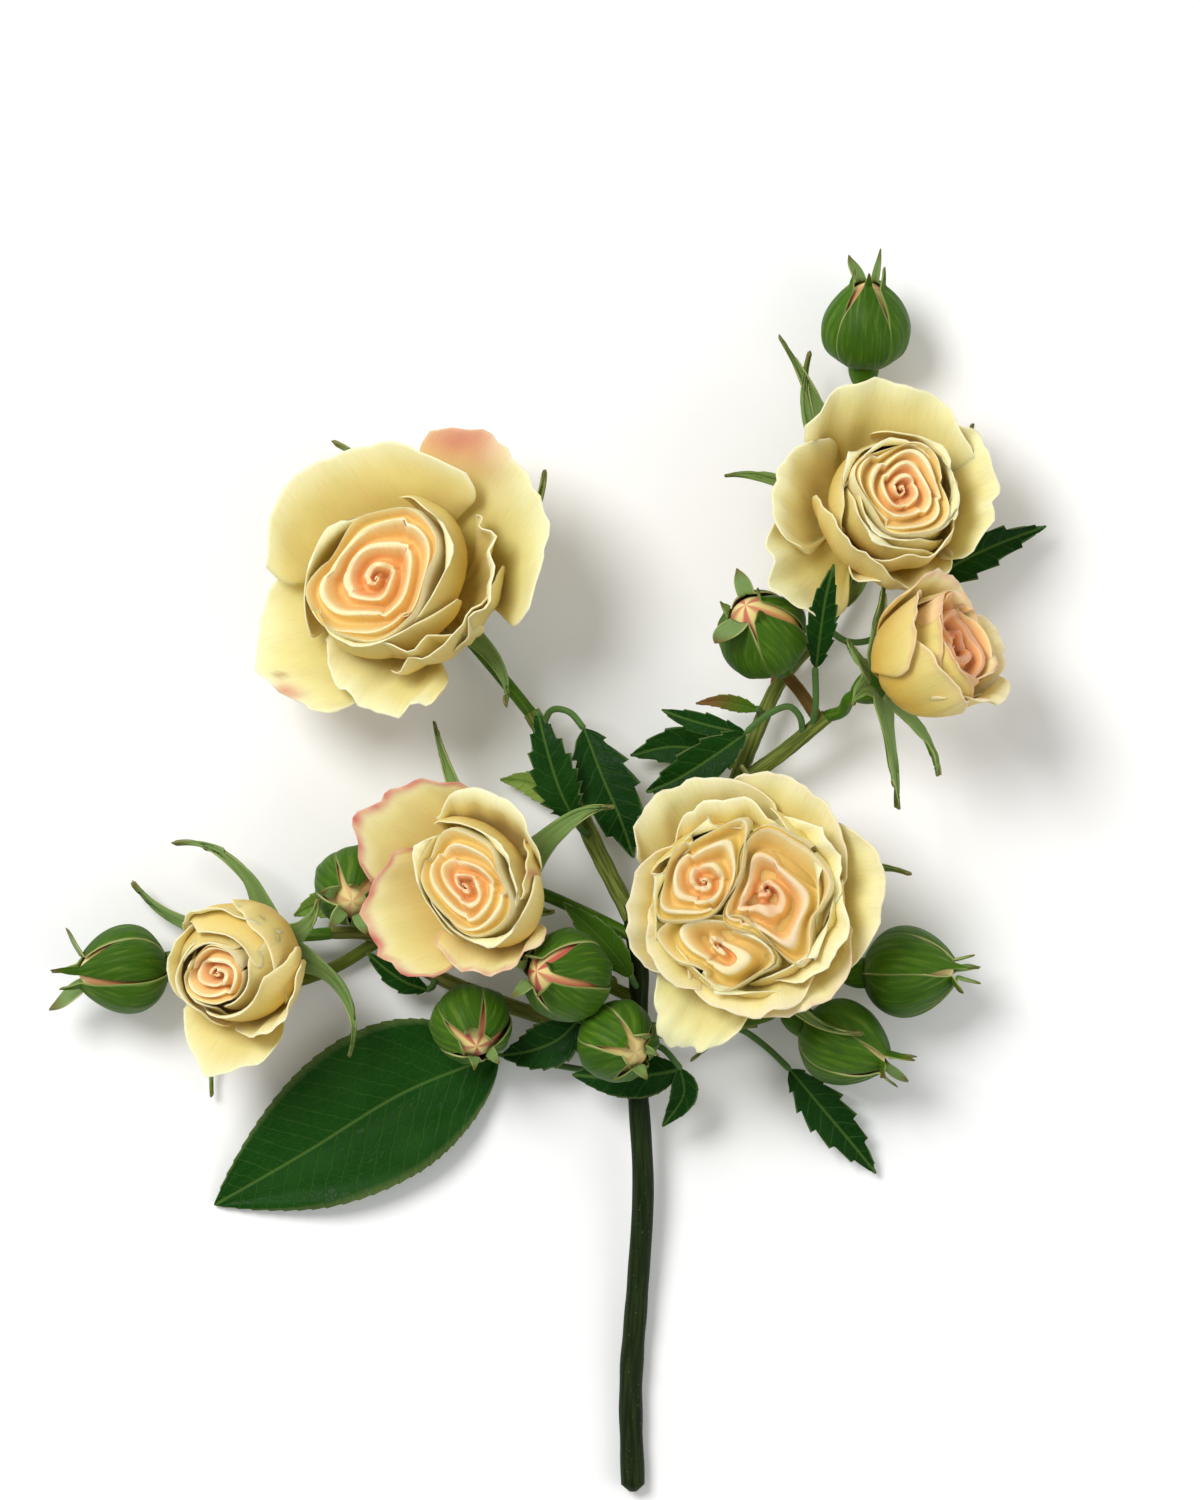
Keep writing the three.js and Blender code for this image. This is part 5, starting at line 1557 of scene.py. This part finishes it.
def add_bud(name, bud):
    to_plan = flower_frame(bud["at"], bud["heading"], bud["tilt"])
    add_bud_petals(name, bud, to_plan)
    tissue = Tissue()
    add_hip(tissue, to_plan, BUD_HIP_RADIUS, BUD_HIP_LENGTH, -GAP)
    add_pedicel(tissue, bud, to_plan, -GAP - BUD_HIP_LENGTH, bud["red"])
    for i, (reach, tip, tip_lean) in enumerate(bud["sepals"]):
        add_bud_sepal(tissue, bud, to_plan, i, reach, tip, tip_lean)
    tissue.piece(f"fine_{name}_calyx", f"{name}_calyx", GREEN, "bud")


# ---- Leaves ----

WIDEST = 0.42  # where along its midrib a leaflet is widest


def add_blade(tissue, spine, width, seed, fold=12, teeth=7, bite=0.12, wave=0.25, warmth=0.1, red=0.0):
    """One leaflet along its midrib. fold lifts its halves, and bite is how deep its teeth are cut."""
    rows, columns = 150, 17
    midrib = path_through(spine, rows)
    forward = np.gradient(midrib, axis=0)
    forward /= np.linalg.norm(forward, axis=1)[:, None]
    side = np.cross([0, 0, 1], forward)
    side /= np.linalg.norm(side, axis=1)[:, None]
    upper = np.cross(forward, side)
    v = np.linspace(0, 1, rows)[:, None] * np.ones((1, columns))
    u = np.linspace(-1, 1, columns)[None, :] * np.ones((rows, 1))
    towards_tip = np.minimum(v, 0.999) ** (math.log(0.5) / math.log(WIDEST))
    half = (width / 2) * np.sin(math.pi * towards_tip) ** 0.85
    half = np.maximum(half, 0.12)
    phase = np.where(u > 0, 0.35, 0.0)
    saw = 1 - np.mod(v**0.9 * teeth + phase, 1.0)
    cut = bite * saw**0.8 * np.abs(u) ** 5 * smoothstep(0.04, 0.15, v) * width / 2
    reach = np.maximum(half * np.abs(u) - cut, 0.02) * np.sign(u)
    rise = np.abs(reach) * math.sin(math.radians(fold))
    rise = rise + wave * waves(2.4 * u, 3 * v, seed) * np.abs(u) * min(width / 10, 1.6)
    quilting = np.abs(np.sin(math.pi * (v * 9 - 0.9 * np.abs(u)))) ** 3
    rise = rise - 0.16 * quilting * np.abs(u) * (1 - np.abs(u))
    flat = reach * math.cos(math.radians(fold))
    grid = midrib[:, None] + flat[..., None] * side[:, None] + rise[..., None] * upper[:, None]
    length = np.linalg.norm(np.diff(midrib, axis=0), axis=1).sum()
    skin = np.stack([reach, v * length, np.full_like(v, seed)], -1)
    tone = np.stack([v, np.abs(u), np.full_like(v, warmth), 0 * v], -1)
    mark = np.zeros((rows, columns, 3))
    mark[..., PALE] = 0.25 * smoothstep(0.9, 1, np.abs(u))
    mark[..., RED] = red * smoothstep(0.2, 0.9, v)
    tissue.sheet(grid, LEAF_THICKNESS, skin, tone, mark)


def add_leaf(name, petiole, blades):
    tissue = Tissue()
    path = path_through(petiole, 24)
    tissue.tube(path, PETIOLE_RADIUS, 0.7, sides=10, seed=5.0)
    for i, (spine, width, options) in enumerate(blades):
        add_blade(tissue, spine, width, seed=3 + 5 * i + len(name), **options)
    tissue.piece(f"fine_{name}", name, LEAF, "leaf")


for limb_name, limb in LIMBS.items():
    add_limb(limb_name, *limb)
for bloom_name, bloom_data in BLOOMS.items():
    add_bloom(bloom_name, bloom_data)
for bud_name, bud_data in BUDS.items():
    add_bud(bud_name, bud_data)
for leaf_name, leaf_data in LEAVES.items():
    add_leaf(leaf_name, *leaf_data)


# ---- Floor, light and camera ----


def add_floor():
    bpy.ops.mesh.primitive_plane_add(size=6, location=(0, 0, -0.0003))
    floor = bpy.context.object
    floor.name = "floor"
    floor.data.materials.append(floor_material())


def add_light(name, location, size, power):
    """A round lamp that looks at the part."""
    lamp = bpy.data.lights.new(name, "AREA")
    lamp.shape = "DISK"
    lamp.size = size
    lamp.energy = power
    light = bpy.data.objects.new(name, lamp)
    light.location = location
    light.rotation_euler = (-Vector(location)).to_track_quat("-Z", "Y").to_euler()
    bpy.context.scene.collection.objects.link(light)


def add_world(strength):
    world = bpy.data.worlds.new("studio")
    world.use_nodes = True
    background = world.node_tree.nodes["Background"]
    background.inputs["Color"].default_value = (1, 1, 1, 1)
    background.inputs["Strength"].default_value = strength
    bpy.context.scene.world = world


def add_camera():
    """Looks straight down on the whole plan."""
    data = bpy.data.cameras.new("camera")
    data.lens = LENS
    data.sensor_width = SENSOR
    camera = bpy.data.objects.new("camera", data)
    x, y = FRAME_CENTRE
    camera.location = PLAN_SHIFT + Vector((x, y, FRAME_HEIGHT * LENS / SENSOR + FRAME_LEVEL)) * MM
    camera.rotation_euler = (0, 0, 0)
    bpy.context.scene.collection.objects.link(camera)
    bpy.context.scene.camera = camera


add_floor()
add_world(WORLD_STRENGTH)
add_light("key", location=(-0.55, 0.5, 1.1), size=0.6, power=12.5)
add_light("fill", location=(0.9, -0.3, 0.8), size=0.9, power=3)
add_camera()
bpy.context.scene.view_settings.view_transform = "Standard"
